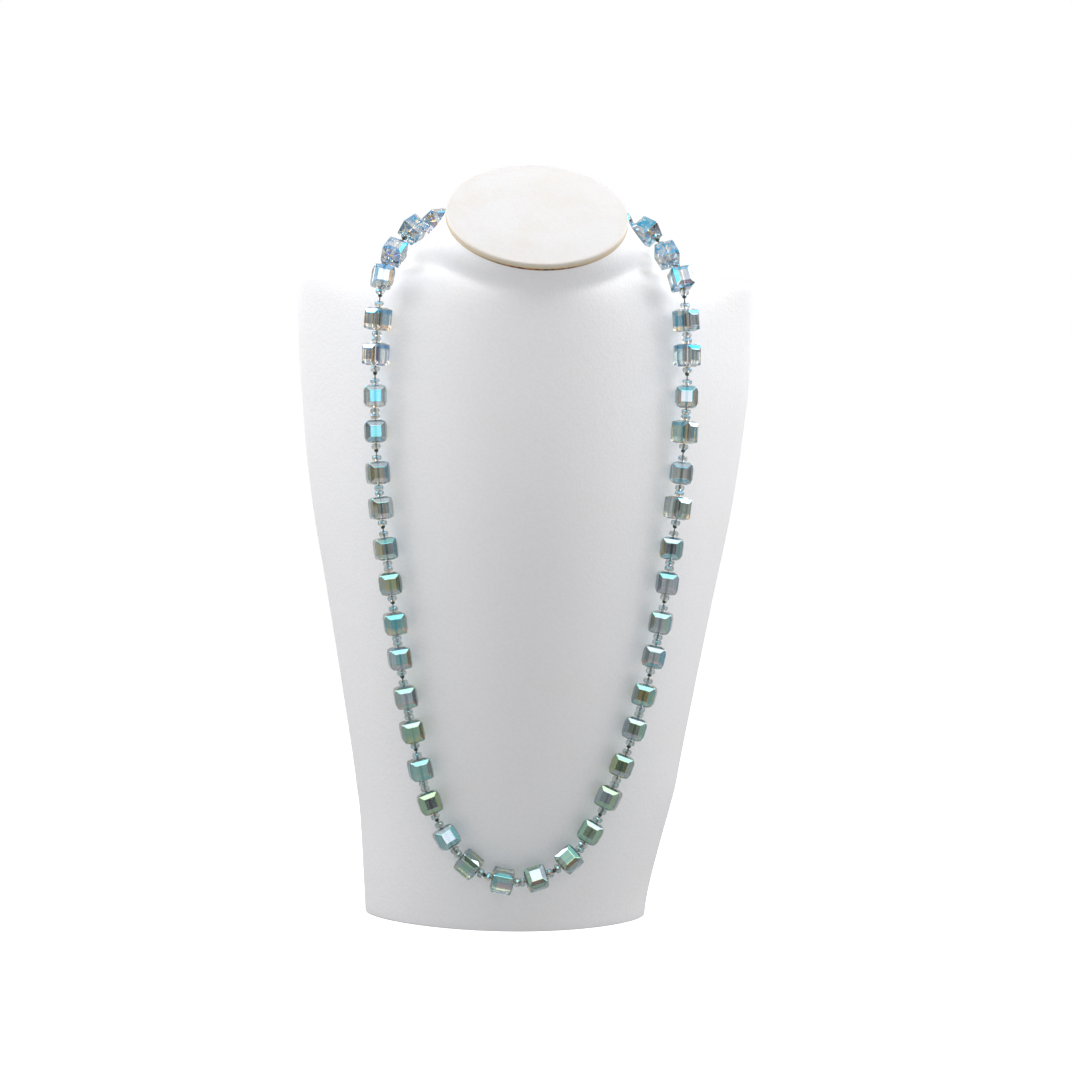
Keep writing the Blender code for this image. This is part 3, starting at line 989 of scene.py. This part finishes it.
    def build_glue(self) -> bpy.types.Object:
        """Build the line of glue, browned with age, that shows between the panel and the lip."""
        mesh = self.rim_tube("glue_line", self.glue_radius, self.glue_seat)
        full, fall, shift = self.glue_stain
        turns = angles(self.oval_steps)
        shade = mesh.attributes.new("wear", "FLOAT", "POINT")
        for index, entry in enumerate(shade.data):
            turn = turns[index // self.tube_sides]
            stain = smooth(full - fall * abs(math.cos(turn) + shift))
            entry.value = stain if math.sin(turn) < 0.0 else 0.0
        return new_object("glue_line", mesh, AGED_GLUE.material())


@dataclass(frozen=True)
class BeadPlace:
    """Where a square bead sits: its middle, the way of its hole, and its front."""

    number: int
    middle: Vector
    along: Vector
    facing: Vector

    def rotation(self) -> Vector:
        """Return the turn that takes X to the front and Z along the hole, as Euler angles."""
        sideways = self.along.cross(self.facing)
        frame = Matrix((self.facing, sideways, self.along)).transposed()
        return Vector(frame.to_euler())


class Gap(Enum):
    """What fills the length of thread between two square beads."""

    PLAIN = 0
    KNOTTED = 1


@dataclass(frozen=True)
class StringPlace:
    """Where a small bead or a knot sits on the thread."""

    middle: Vector
    along: Vector


@dataclass
class Stringing:
    """Places of everything on the thread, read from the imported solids.

    The square beads are read from their nodes. Between them the small beads and the
    knots follow from the lengths below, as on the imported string.
    """

    nodes: dict[str, bpy.types.Object]
    half_bead: float = 5.0 * MM
    small_length: float = 2.4 * MM
    knot_length: float = 1.2 * MM
    clearance: float = 0.3 * MM
    mouth_slack: float = 0.1 * MM
    front: tuple[float, float, float] = (0.0, -1.0, 0.5)
    beads: list[BeadPlace] = field(init=False)

    def __post_init__(self) -> None:
        """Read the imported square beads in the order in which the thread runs."""
        shift = FIRST_ON_ROUTE - 1
        found = [self.read_place((shift + index) % SQUARE_BEADS + 1) for index in range(SQUARE_BEADS)]
        self.beads = []
        for index, bead in enumerate(found):
            before = found[index - 1].middle
            after = found[(index + 1) % len(found)].middle
            along = bead.along if bead.along.dot(after - before) > 0.0 else -bead.along
            self.beads.append(BeadPlace(bead.number, bead.middle, along, bead.facing))

    def read_place(self, number: int) -> BeadPlace:
        """Find a packed bead's hole and front from its corner points.

        Args:
            number: the bead's number.

        Returns:
            The bead's place.
        """
        node = self.nodes[f"cube_{number:02d}"]
        low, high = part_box(node.name)
        middle = (low + high) / 2.0
        merged = bmesh.new()
        merged.from_mesh(node.data)
        bmesh.ops.remove_doubles(merged, verts=merged.verts, dist=WELD)
        arms = sorted((vertex.co - middle for vertex in merged.verts), key=lambda arm: arm.length)
        merged.free()
        rim = arms[0]
        mouths = [arm for arm in arms if arm.length < rim.length + self.mouth_slack]
        along = sum((arm if arm.dot(rim) > 0.0 else -arm for arm in mouths), Vector()).normalized()
        corner = arms[-1] - along * arms[-1].dot(along)
        turns = [math.radians(45.0 + 90.0 * turn) for turn in range(4)]
        sides = [Matrix.Rotation(turn, 3, along) @ corner for turn in turns]
        facing = max(sides, key=lambda side: side.dot(Vector(self.front))).normalized()
        return BeadPlace(number, middle, along, facing)

    def gaps(self) -> list[tuple[Gap, Vector, Vector]]:
        """List each gap's kind, with its start and its end on the thread."""
        found = []
        for index, bead in enumerate(self.beads):
            following = self.beads[(index + 1) % len(self.beads)]
            start = bead.middle + bead.along * self.half_bead
            end = following.middle - following.along * self.half_bead
            found.append((Gap.KNOTTED if index % 2 == 0 else Gap.PLAIN, start, end))
        return found

    def small_beads(self) -> list[StringPlace]:
        """List the places of the small beads."""
        places = []
        half = self.small_length / 2.0
        for kind, start, end in self.gaps():
            along = (end - start).normalized()
            if kind is Gap.PLAIN:
                middle = (start + end) / 2.0
                pair = (middle - along * half, middle + along * half)
            else:
                inset = self.clearance + half
                pair = (start + along * inset, end - along * inset)
            places.extend(StringPlace(place, along) for place in pair)
        return places

    def knots(self) -> list[StringPlace]:
        """List the places of the knots, each under the upper of its two small beads."""
        places = []
        reach = self.clearance + self.small_length + self.knot_length / 2.0
        for kind, start, end in self.gaps():
            if kind is Gap.KNOTTED:
                upper, lower = (start, end) if start.z > end.z else (end, start)
                along = (lower - upper).normalized()
                places.append(StringPlace(upper + along * reach, along))
        return places

    def thread(self) -> list[Vector]:
        """List the points of the thread, in at one end of each hole and out at the other."""
        points = []
        for bead in self.beads:
            points.append(bead.middle - bead.along * self.half_bead)
            points.append(bead.middle + bead.along * self.half_bead)
        return points


class InputKind(Enum):
    """Kinds of named inputs on a Geometry Nodes tree."""

    LENGTH = "NodeSocketFloat"
    WHOLE = "NodeSocketInt"
    PIECE = "NodeSocketObject"
    FINISH = "NodeSocketMaterial"


class GeometryTree(Graph):
    """A Geometry Nodes tree with named inputs, run once on an object."""

    def __init__(self, name: str, inputs: dict[str, tuple[InputKind, object]]) -> None:
        """Make the tree and its inputs.

        Args:
            name: the tree's name.
            inputs: for each named input, its kind and its value.
        """
        super().__init__(bpy.data.node_groups.new(name, "GeometryNodeTree"))
        interface = self.tree.interface
        interface.new_socket("Geometry", in_out="INPUT", socket_type="NodeSocketGeometry")
        self.values = {}
        for label, (kind, value) in inputs.items():
            socket = interface.new_socket(label, in_out="INPUT", socket_type=kind.value)
            self.values[socket.identifier] = value
        interface.new_socket("Geometry", in_out="OUTPUT", socket_type="NodeSocketGeometry")
        self.entry = self.tree.nodes.new("NodeGroupInput")

    def given(self, name: str) -> Socket:
        """Return the output that carries this input of the tree."""
        return self.entry.outputs[name]

    def store(self, geometry: Socket, name: str, value: Socket, domain: str) -> Socket:
        """Store a number on the geometry.

        Args:
            geometry: the geometry so far.
            name: the attribute's name.
            value: the number.
            domain: what carries it, such as "FACE".

        Returns:
            The geometry with the attribute.
        """
        feeds = {"Geometry": geometry, "Name": name, "Value": value}
        kind = "GeometryNodeStoreNamedAttribute"
        return self.add(kind, feeds, data_type="FLOAT", domain=domain).outputs["Geometry"]

    def chance(self) -> Socket:
        """Draw a number between 0 and 1 for each element, from the input Seed."""
        feeds = {"Seed": self.given("Seed")}
        return self.add("FunctionNodeRandomValue", feeds, data_type="FLOAT").outputs[1]

    def real(self, geometry: Socket) -> Socket:
        """Turn copies into geometry of their own."""
        return self.add("GeometryNodeRealizeInstances", {"Geometry": geometry}).outputs["Geometry"]

    def end(self, geometry: Socket) -> None:
        """Realize the geometry, give it the tree's finish, and close the tree.

        Args:
            geometry: the geometry so far.
        """
        feeds = {"Geometry": self.real(geometry), "Material": self.given("Finish")}
        dressed = self.add("GeometryNodeSetMaterial", feeds)
        self.add("NodeGroupOutput", {0: dressed.outputs["Geometry"]})

    def run(self, name: str, carrier: bpy.types.Mesh) -> bpy.types.Object:
        """Run the tree on a mesh and keep the result as a plain mesh.

        Args:
            name: the finished piece's name.
            carrier: the mesh that the tree starts from.

        Returns:
            The finished piece, at the origin.
        """
        item = put(carrier.name, carrier)
        modifier = item.modifiers.new(name, "NODES")
        modifier.node_group = self.tree
        for identifier, value in self.values.items():
            modifier[identifier] = value
        bpy.context.view_layer.update()
        graph = bpy.context.evaluated_depsgraph_get()
        mesh = bpy.data.meshes.new_from_object(item.evaluated_get(graph), depsgraph=graph)
        mesh.name = name
        item.modifiers.remove(modifier)
        bpy.data.objects.remove(item)
        return put(name, mesh)


@dataclass(frozen=True)
class ToneRule:
    """How a bead's tone comes from its height and from chance."""

    top: float = 0.31
    bottom: float = 0.05
    from_height: float = 0.6
    from_chance: float = 0.4


def set_copies(
    name: str,
    mesh: bpy.types.Mesh,
    finish: bpy.types.Material,
    seed: int,
    places: list[Placement],
) -> bpy.types.Object:
    """Copy a mesh to every place, each copy with its own tone.

    The tone and the facet attributes let the glass vary from bead to bead and from one
    cut face to the next.

    Args:
        name: the finished piece's name.
        mesh: the mesh that is copied.
        finish: the piece's material.
        seed: the seed of what varies by chance.
        places: for each copy, its position and its Euler angles.

    Returns:
        All copies as one piece.
    """
    carrier = bpy.data.meshes.new(f"{name}_points")
    carrier.from_pydata([place for place, _ in places], [], [])
    turns = carrier.attributes.new("turn", "FLOAT_VECTOR", "POINT")
    for entry, (_, turn) in zip(turns.data, places):
        entry.vector = turn
    tree = GeometryTree(
        f"set_{name}",
        {
            "Bead": (InputKind.PIECE, bpy.data.objects.new(mesh.name, mesh)),
            "Finish": (InputKind.FINISH, finish),
            "Seed": (InputKind.WHOLE, seed),
        },
    )
    rule = ToneRule()
    source = tree.add("GeometryNodeObjectInfo", {"Object": tree.given("Bead")})
    kind = "GeometryNodeInputNamedAttribute"
    turn = tree.add(kind, {"Name": "turn"}, data_type="FLOAT_VECTOR").outputs["Attribute"]
    place = tree.add("GeometryNodeInputPosition", {}).outputs["Position"]
    height = tree.add("ShaderNodeSeparateXYZ", {0: place}).outputs["Z"]
    lowness = tree.spread(height, (0.0, rule.from_height), (rule.top, rule.bottom))
    tone = tree.calculate("MULTIPLY_ADD", tree.chance(), rule.from_chance, lowness)
    toned = tree.store(tree.given("Geometry"), "tone", tone, "POINT")
    feeds = {"Points": toned, "Instance": source.outputs["Geometry"], "Rotation": turn}
    copies = tree.add("GeometryNodeInstanceOnPoints", feeds).outputs["Instances"]
    tree.end(tree.store(tree.real(copies), "facet", tree.chance(), "FACE"))
    return tree.run(name, carrier)


def spun(places: list[StringPlace], spin: float) -> list[Placement]:
    """Turn each piece about the thread, further than the one before it.

    Args:
        places: the places on the thread.
        spin: the turn from each to the next, in radians.

    Returns:
        For each piece, its position and its Euler angles.
    """
    turned = []
    for index, place in enumerate(places):
        own = Matrix.Rotation(index * spin, 3, "Z")
        turn = place.along.to_track_quat("Z", "Y").to_matrix() @ own
        turned.append((place.middle, Vector(turn.to_euler())))
    return turned


@dataclass
class SquareBeads:
    """The square beads, each face cut to a table and four bevels, with polished edges."""

    stringing: Stringing
    size: float = 10.0 * MM
    face: float = 8.5 * MM
    table: float = 4.9 * MM
    bore: float = 1.5 * MM
    bore_sides: int = 16
    mouth_start: float = -0.75 * math.pi
    edge: float = 0.13 * MM
    least_fold: float = 5.0
    seed: int = 11

    def cut_bead(self) -> bpy.types.Mesh:
        """Build one bead with its hole along Z, its edges bevelled finely."""
        bead = bmesh.new()
        for axis in range(3):
            for side in (-1.0, 1.0):
                self.cut_face(bead, axis, side)
        bmesh.ops.remove_doubles(bead, verts=bead.verts, dist=WELD)
        ends = [edge for edge in bead.edges if edge.is_boundary]
        bmesh.ops.bridge_loops(bead, edges=ends)
        bmesh.ops.recalc_face_normals(bead, faces=bead.faces)
        polished = [edge for edge in bead.edges if self.is_outer(edge)]
        bmesh.ops.bevel(
            bead, geom=polished, offset=self.edge, segments=1, affect="EDGES", profile=0.5
        )
        return into_mesh("cut_bead", bead)

    def is_outer(self, edge: bmesh.types.BMEdge) -> bool:
        """Tell whether an edge lies between two cut faces, clear of the hole."""
        near_hole = any(math.hypot(point.co.x, point.co.y) < self.bore for point in edge.verts)
        return not near_hole and edge.calc_face_angle(0.0) > math.radians(self.least_fold)

    def cut_face(self, bead: bmesh.types.BMesh, axis: int, side: float) -> None:
        """Add one of the six faces: its table and four bevels. The hole opens in two of them.

        Args:
            bead: the mesh that receives the face.
            axis: the axis that the face looks along, 2 for the hole's.
            side: -1 or 1, the way along that axis.
        """
        outer, table = [], []
        for first, second in ((-1.0, -1.0), (1.0, -1.0), (1.0, 1.0), (-1.0, 1.0)):
            for ring, half, rise in (
                (outer, self.face / 2.0, self.face / 2.0),
                (table, self.table / 2.0, self.size / 2.0),
            ):
                place = [half * first, half * second]
                place.insert(axis, rise * side)
                ring.append(bead.verts.new(place))
        for index in range(4):
            after = (index + 1) % 4
            bead.faces.new((outer[index], outer[after], table[after], table[index]))
        if axis != 2:
            bead.faces.new(table)
            return
        mouth = []
        for step in range(self.bore_sides):
            angle = math.tau * step / self.bore_sides + self.mouth_start
            across = self.bore / 2.0 * math.cos(angle)
            along = self.bore / 2.0 * math.sin(angle)
            mouth.append(bead.verts.new((across, along, self.size / 2.0 * side)))
        share = self.bore_sides // 4
        for index in range(4):
            arc = [mouth[(index * share + step) % self.bore_sides] for step in range(share + 1)]
            bead.faces.new((table[index], table[(index + 1) % 4], *reversed(arc)))

    def build(self) -> bpy.types.Object:
        """Set a cut bead at each place on the thread, all as one piece."""
        places = [(bead.middle, bead.rotation()) for bead in self.stringing.beads]
        glass = SQUARE_BEAD_GLASS.material()
        return set_copies("square_beads", self.cut_bead(), glass, self.seed, places)


@dataclass
class SmallBeads:
    """The small round beads, fire-polished with flat facets all round."""

    stringing: Stringing
    diameter: float = 4.2 * MM
    length: float = 2.4 * MM
    end_diameter: float = 2.8 * MM
    bore: float = 1.0 * MM
    shoulder: float = 0.92
    shoulder_level: float = 0.66
    belt_level: float = 0.18
    sides: int = 12
    spin: float = 2.4
    seed: int = 5

    def turned_bead(self) -> bpy.types.Mesh:
        """Build one bead with its hole along Z."""
        half = self.length / 2.0
        end = self.end_diameter / 2.0
        wide = self.diameter / 2.0
        bore = self.bore / 2.0
        shoulder = self.shoulder * wide
        profile = (
            (bore, -half, 0.0),
            (end, -half, 0.0),
            (shoulder, -self.shoulder_level * half, 0.5),
            (wide, -self.belt_level * half, 0.0),
            (wide, self.belt_level * half, 0.0),
            (shoulder, self.shoulder_level * half, 0.5),
            (end, half, 0.0),
            (bore, half, 0.0),
        )
        bead = bmesh.new()
        rings = []
        for radius, level, offset in profile:
            ring = []
            for angle in angles(self.sides, offset):
                ring.append(bead.verts.new((radius * math.cos(angle), radius * math.sin(angle), level)))
            rings.append((ring, offset))
        for (lower, shift), (upper, lift) in zip(rings, rings[1:] + rings[:1]):
            for index in range(self.sides):
                after = (index + 1) % self.sides
                if shift == lift:
                    bead.faces.new((lower[index], lower[after], upper[after], upper[index]))
                elif lift > shift:
                    bead.faces.new((lower[index], lower[after], upper[index]))
                    bead.faces.new((upper[index], lower[after], upper[after]))
                else:
                    bead.faces.new((lower[index], upper[after], upper[index]))
                    bead.faces.new((lower[index], lower[after], upper[after]))
        bmesh.ops.recalc_face_normals(bead, faces=bead.faces)
        return into_mesh("turned_bead", bead)

    def build(self) -> bpy.types.Object:
        """Thread a small bead at each of its places, all as one piece."""
        places = spun(self.stringing.small_beads(), self.spin)
        glass = SMALL_BEAD_GLASS.material()
        return set_copies("small_beads", self.turned_bead(), glass, self.seed, places)


@dataclass
class KnottedThread:
    """The thread: two plies twisted together, with an overhand knot at each pair."""

    stringing: Stringing
    diameter: float = 0.7 * MM
    twist_pitch: float = 1.7 * MM
    step: float = 0.34 * MM
    ply_sides: int = 6
    knot_diameter: float = 2.1 * MM
    knot_tube: float = 0.74 * MM
    knot_height: float = 1.6
    knot_steps: int = 30
    knot_sides: int = 8
    spin: float = 1.7
    seed: int = 3

    def build_thread(self) -> bpy.types.Object:
        """Twist the two plies along the whole closed thread."""
        tree = GeometryTree(
            "twist_thread",
            {
                "Ply": (InputKind.LENGTH, self.diameter / 4.0),
                "Step": (InputKind.LENGTH, self.step),
                "Pitch": (InputKind.LENGTH, self.twist_pitch),
                "Finish": (InputKind.FINISH, GREEN_THREAD.material()),
            },
        )
        path = tree.add("GeometryNodeMeshToCurve", {"Mesh": tree.given("Geometry")})
        feeds = {"Curve": path.outputs["Curve"], "Length": tree.given("Step")}
        even = tree.add("GeometryNodeResampleCurve", feeds, mode="LENGTH")
        length = tree.add("GeometryNodeSplineParameter", {}).outputs["Length"]
        turns = tree.calculate("DIVIDE", length, tree.given("Pitch"))
        tilt = tree.calculate("MULTIPLY", turns, math.tau)
        feeds = {"Curve": even.outputs["Curve"], "Tilt": tilt}
        twisted = tree.add("GeometryNodeSetCurveTilt", feeds)
        feeds = {"Resolution": self.ply_sides, "Radius": tree.given("Ply")}
        round_ply = tree.add("GeometryNodeCurvePrimitiveCircle", feeds)
        plies = tree.add("GeometryNodeJoinGeometry", {})
        for side in (-1.0, 1.0):
            offset = tree.calculate("MULTIPLY", tree.given("Ply"), side)
            place = tree.add("ShaderNodeCombineXYZ", {"X": offset}).outputs["Vector"]
            feeds = {"Geometry": round_ply.outputs["Curve"], "Translation": place}
            ply = tree.add("GeometryNodeTransform", feeds)
            tree.tree.links.new(ply.outputs["Geometry"], plies.inputs["Geometry"])
        feeds = {"Curve": twisted.outputs["Curve"], "Profile Curve": plies.outputs["Geometry"]}
        tree.end(tree.add("GeometryNodeCurveToMesh", feeds).outputs["Mesh"])
        points = self.stringing.thread()
        mesh = bpy.data.meshes.new("thread_path")
        count = len(points)
        mesh.from_pydata(points, [(index, (index + 1) % count) for index in range(count)], [])
        return tree.run("thread", mesh)

    def tied_knot(self) -> bpy.types.Mesh:
        """Build one pulled overhand knot about the Z axis, a tube along a small trefoil."""
        tube = self.knot_tube / 2.0
        unit = (self.knot_diameter / 2.0 - tube) / 3.0
        path = []
        for angle in angles(self.knot_steps):
            reach = unit * (2.0 + math.cos(3.0 * angle))
            level = self.knot_height * unit * math.sin(3.0 * angle)
            across = reach * math.cos(2.0 * angle)
            path.append(Vector((across, reach * math.sin(2.0 * angle), level)))
        rings = []
        for index, middle in enumerate(path):
            ahead = (path[(index + 1) % self.knot_steps] - path[index - 1]).normalized()
            outward = Vector((middle.x, middle.y, 0.0))
            outward = (outward - ahead * outward.dot(ahead)).normalized()
            sideways = ahead.cross(outward)
            ring = []
            for angle in angles(self.knot_sides):
                ring.append(middle + tube * (outward * math.cos(angle) + sideways * math.sin(angle)))
            rings.append(ring)
        return skin("tied_knot", rings, endless=True)

    def build_knots(self) -> bpy.types.Object:
        """Tie a knot at each of its places, all as one piece."""
        places = spun(self.stringing.knots(), self.spin)
        return set_copies("knots", self.tied_knot(), GREEN_THREAD.material(), self.seed, places)


@dataclass(frozen=True)
class PhotoCamera:
    """The camera that took the photograph, worked out from the bust's outlines."""

    yaw: float = 4.5
    pitch: float = 4.0
    roll: float = 1.35
    distance: float = 1.4
    aim: tuple[float, float, float] = (0.0044, -0.0010, 0.1750)
    picture_px: float = 1072.0
    mm_per_px: float = 0.444
    sensor_mm: float = 36.0

    def place(self) -> None:
        """Make the camera and make it the scene's own."""
        yaw, pitch, roll = (math.radians(angle) for angle in (self.yaw, self.pitch, self.roll))
        ahead = Vector(
            (math.sin(yaw) * math.cos(pitch), math.cos(yaw) * math.cos(pitch), -math.sin(pitch))
        )
        level = Vector((math.cos(yaw), -math.sin(yaw), 0.0))
        upright = level.cross(ahead)
        right = level * math.cos(roll) + upright * math.sin(roll)
        up = upright * math.cos(roll) - level * math.sin(roll)
        position = Vector(self.aim) - ahead * self.distance
        data = bpy.data.cameras.new("photo_camera")
        data.sensor_width = self.sensor_mm
        data.lens = self.distance / (self.picture_px * self.mm_per_px * MM) * self.sensor_mm
        camera = put("photo_camera", data)
        turn = Matrix((right, up, -ahead)).transposed().to_4x4()
        camera.matrix_world = Matrix.Translation(position) @ turn
        bpy.context.scene.camera = camera


@dataclass(frozen=True)
class Softbox:
    """A soft area light."""

    name: str
    position: tuple[float, float, float]
    size: float
    power: float


@dataclass
class Studio:
    """The photo's studio: floor, white surround, lights and camera.

    A softbox stands at each side and one in front, with a weak light overhead.
    """

    aim: tuple[float, float, float] = (0.0, 0.0, 0.18)
    floor_radius: float = 8.0
    floor_segments: int = 64
    floor_color: str = "#f6f6f6"
    floor_bounce: str = "#6c6c6c"
    floor_glow: float = 0.82
    floor_fill: float = 0.42
    ambient: float = 0.13
    backdrop: float = 1.0
    mirrored: float = 1.1
    mirrored_from: float = 0.6
    through: float = 0.42
    softboxes: tuple[Softbox, ...] = (
        Softbox("left_softbox", (-0.58, 0.07, 0.66), 0.6, 5.6),
        Softbox("right_softbox", (0.58, 0.07, 0.66), 0.6, 5.6),
        Softbox("front_softbox", (0.0, -1.35, 0.85), 1.1, 7.4),
    )
    overhead_strength: float = 0.25
    overhead_spread: float = 120.0

    def build(self) -> None:
        """Make the floor, the lights, the backdrop's light and the camera."""
        self.build_floor()
        for box in self.softboxes:
            self.build_light(box)
        sun = bpy.data.lights.new("overhead_light", "SUN")
        sun.energy = self.overhead_strength
        sun.angle = math.radians(self.overhead_spread)
        put("overhead_light", sun)
        self.build_world()
        PhotoCamera().place()
        bpy.context.scene.view_settings.view_transform = "Standard"
        bpy.context.scene.view_settings.look = "None"

    def build_floor(self) -> None:
        """Make the plain pale floor."""
        floor = bmesh.new()
        count = self.floor_segments
        bmesh.ops.create_circle(floor, cap_ends=True, segments=count, radius=self.floor_radius)
        surface = Surface("matt_paper_floor")
        camera = surface.ray("Is Camera Ray")
        shader = surface.principled(
            {
                "Base Color": surface.blend(camera, self.floor_bounce, self.floor_color),
                "Roughness": 0.9,
                "Specular IOR Level": 0.1,
                "Emission Color": WHITE,
                "Emission Strength": surface.spread(camera, (self.floor_fill, self.floor_glow)),
            }
        )
        new_object("floor", into_mesh("floor", floor), surface.finish(shader))

    def build_light(self, box: Softbox) -> None:
        """Make one softbox that faces the object.

        Args:
            box: the softbox.
        """
        data = bpy.data.lights.new(box.name, "AREA")
        data.energy = box.power
        data.size = box.size
        item = put(box.name, data)
        item.location = box.position
        item.visible_camera = False
        ahead = Vector(self.aim) - Vector(box.position)
        item.rotation_euler = ahead.to_track_quat("-Z", "Y").to_euler()

    def build_world(self) -> None:
        """Make the white surround: bright to the eye and in the glass, dimmer as a light."""
        world = bpy.data.worlds.new("white_surround")
        bpy.context.scene.world = world
        world.use_nodes = True
        graph = Graph(world.node_tree)
        strength = graph.spread(graph.ray("Is Camera Ray"), (self.ambient, self.backdrop))
        place = graph.add("ShaderNodeTexCoord", {}).outputs["Generated"]
        height = graph.add("ShaderNodeSeparateXYZ", {"Vector": place}).outputs["Z"]
        tent = graph.spread(height, (0.0, self.mirrored), (0.0, self.mirrored_from))
        mirrored = graph.calculate("MULTIPLY_ADD", graph.ray("Is Glossy Ray"), tent, strength)
        passing = graph.ray("Is Transmission Ray")
        seen = graph.calculate("MULTIPLY_ADD", passing, self.through, mirrored)
        glow = graph.add("ShaderNodeBackground", {"Color": WHITE, "Strength": seen})
        graph.add("ShaderNodeOutputWorld", {"Surface": glow.outputs["Background"]})


def foot_origin(body: bpy.types.Object) -> Vector:
    """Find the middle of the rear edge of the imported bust's foot.

    Args:
        body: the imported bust.

    Returns:
        The point.
    """
    foot = [vertex.co for vertex in body.data.vertices if vertex.co.z < WELD]
    left = min(point.x for point in foot)
    right = max(point.x for point in foot)
    return Vector(((left + right) / 2.0, max(point.y for point in foot), 0.0))


def finish_piece(piece: bpy.types.Object, replaced: list[str]) -> None:
    """Make a piece part of the object and report it.

    Args:
        piece: the finished piece.
        replaced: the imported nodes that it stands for.
    """
    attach(piece, "root")
    if replaced:
        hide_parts(*replaced)
    log.info("%s: %d faces", piece.name, len(piece.data.polygons))


def main() -> None:
    """Build the whole scene."""
    logging.basicConfig(level=logging.INFO, format="%(name)s: %(message)s")
    for item in list(bpy.data.objects):
        bpy.data.objects.remove(item, do_unlink=True)
    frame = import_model()
    nodes = frame["nodes"]
    Studio().build()
    stringing = Stringing(nodes)
    bust = NeckBust(foot_origin(nodes["bust_body"]))
    finish_piece(bust.build_body(), ["bust_body"])
    finish_piece(bust.build_lip(), [])
    finish_piece(bust.build_glue(), [])
    finish_piece(bust.build_panel(), ["neck_cap"])
    squares = SquareBeads(stringing).build()
    finish_piece(squares, [f"cube_{bead.number:02d}" for bead in stringing.beads])
    finish_piece(SmallBeads(stringing).build(), ["string"])
    thread = KnottedThread(stringing)
    finish_piece(thread.build_thread(), ["string"])
    finish_piece(thread.build_knots(), ["string"])
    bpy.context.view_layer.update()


if __name__ == "__main__":
    main()
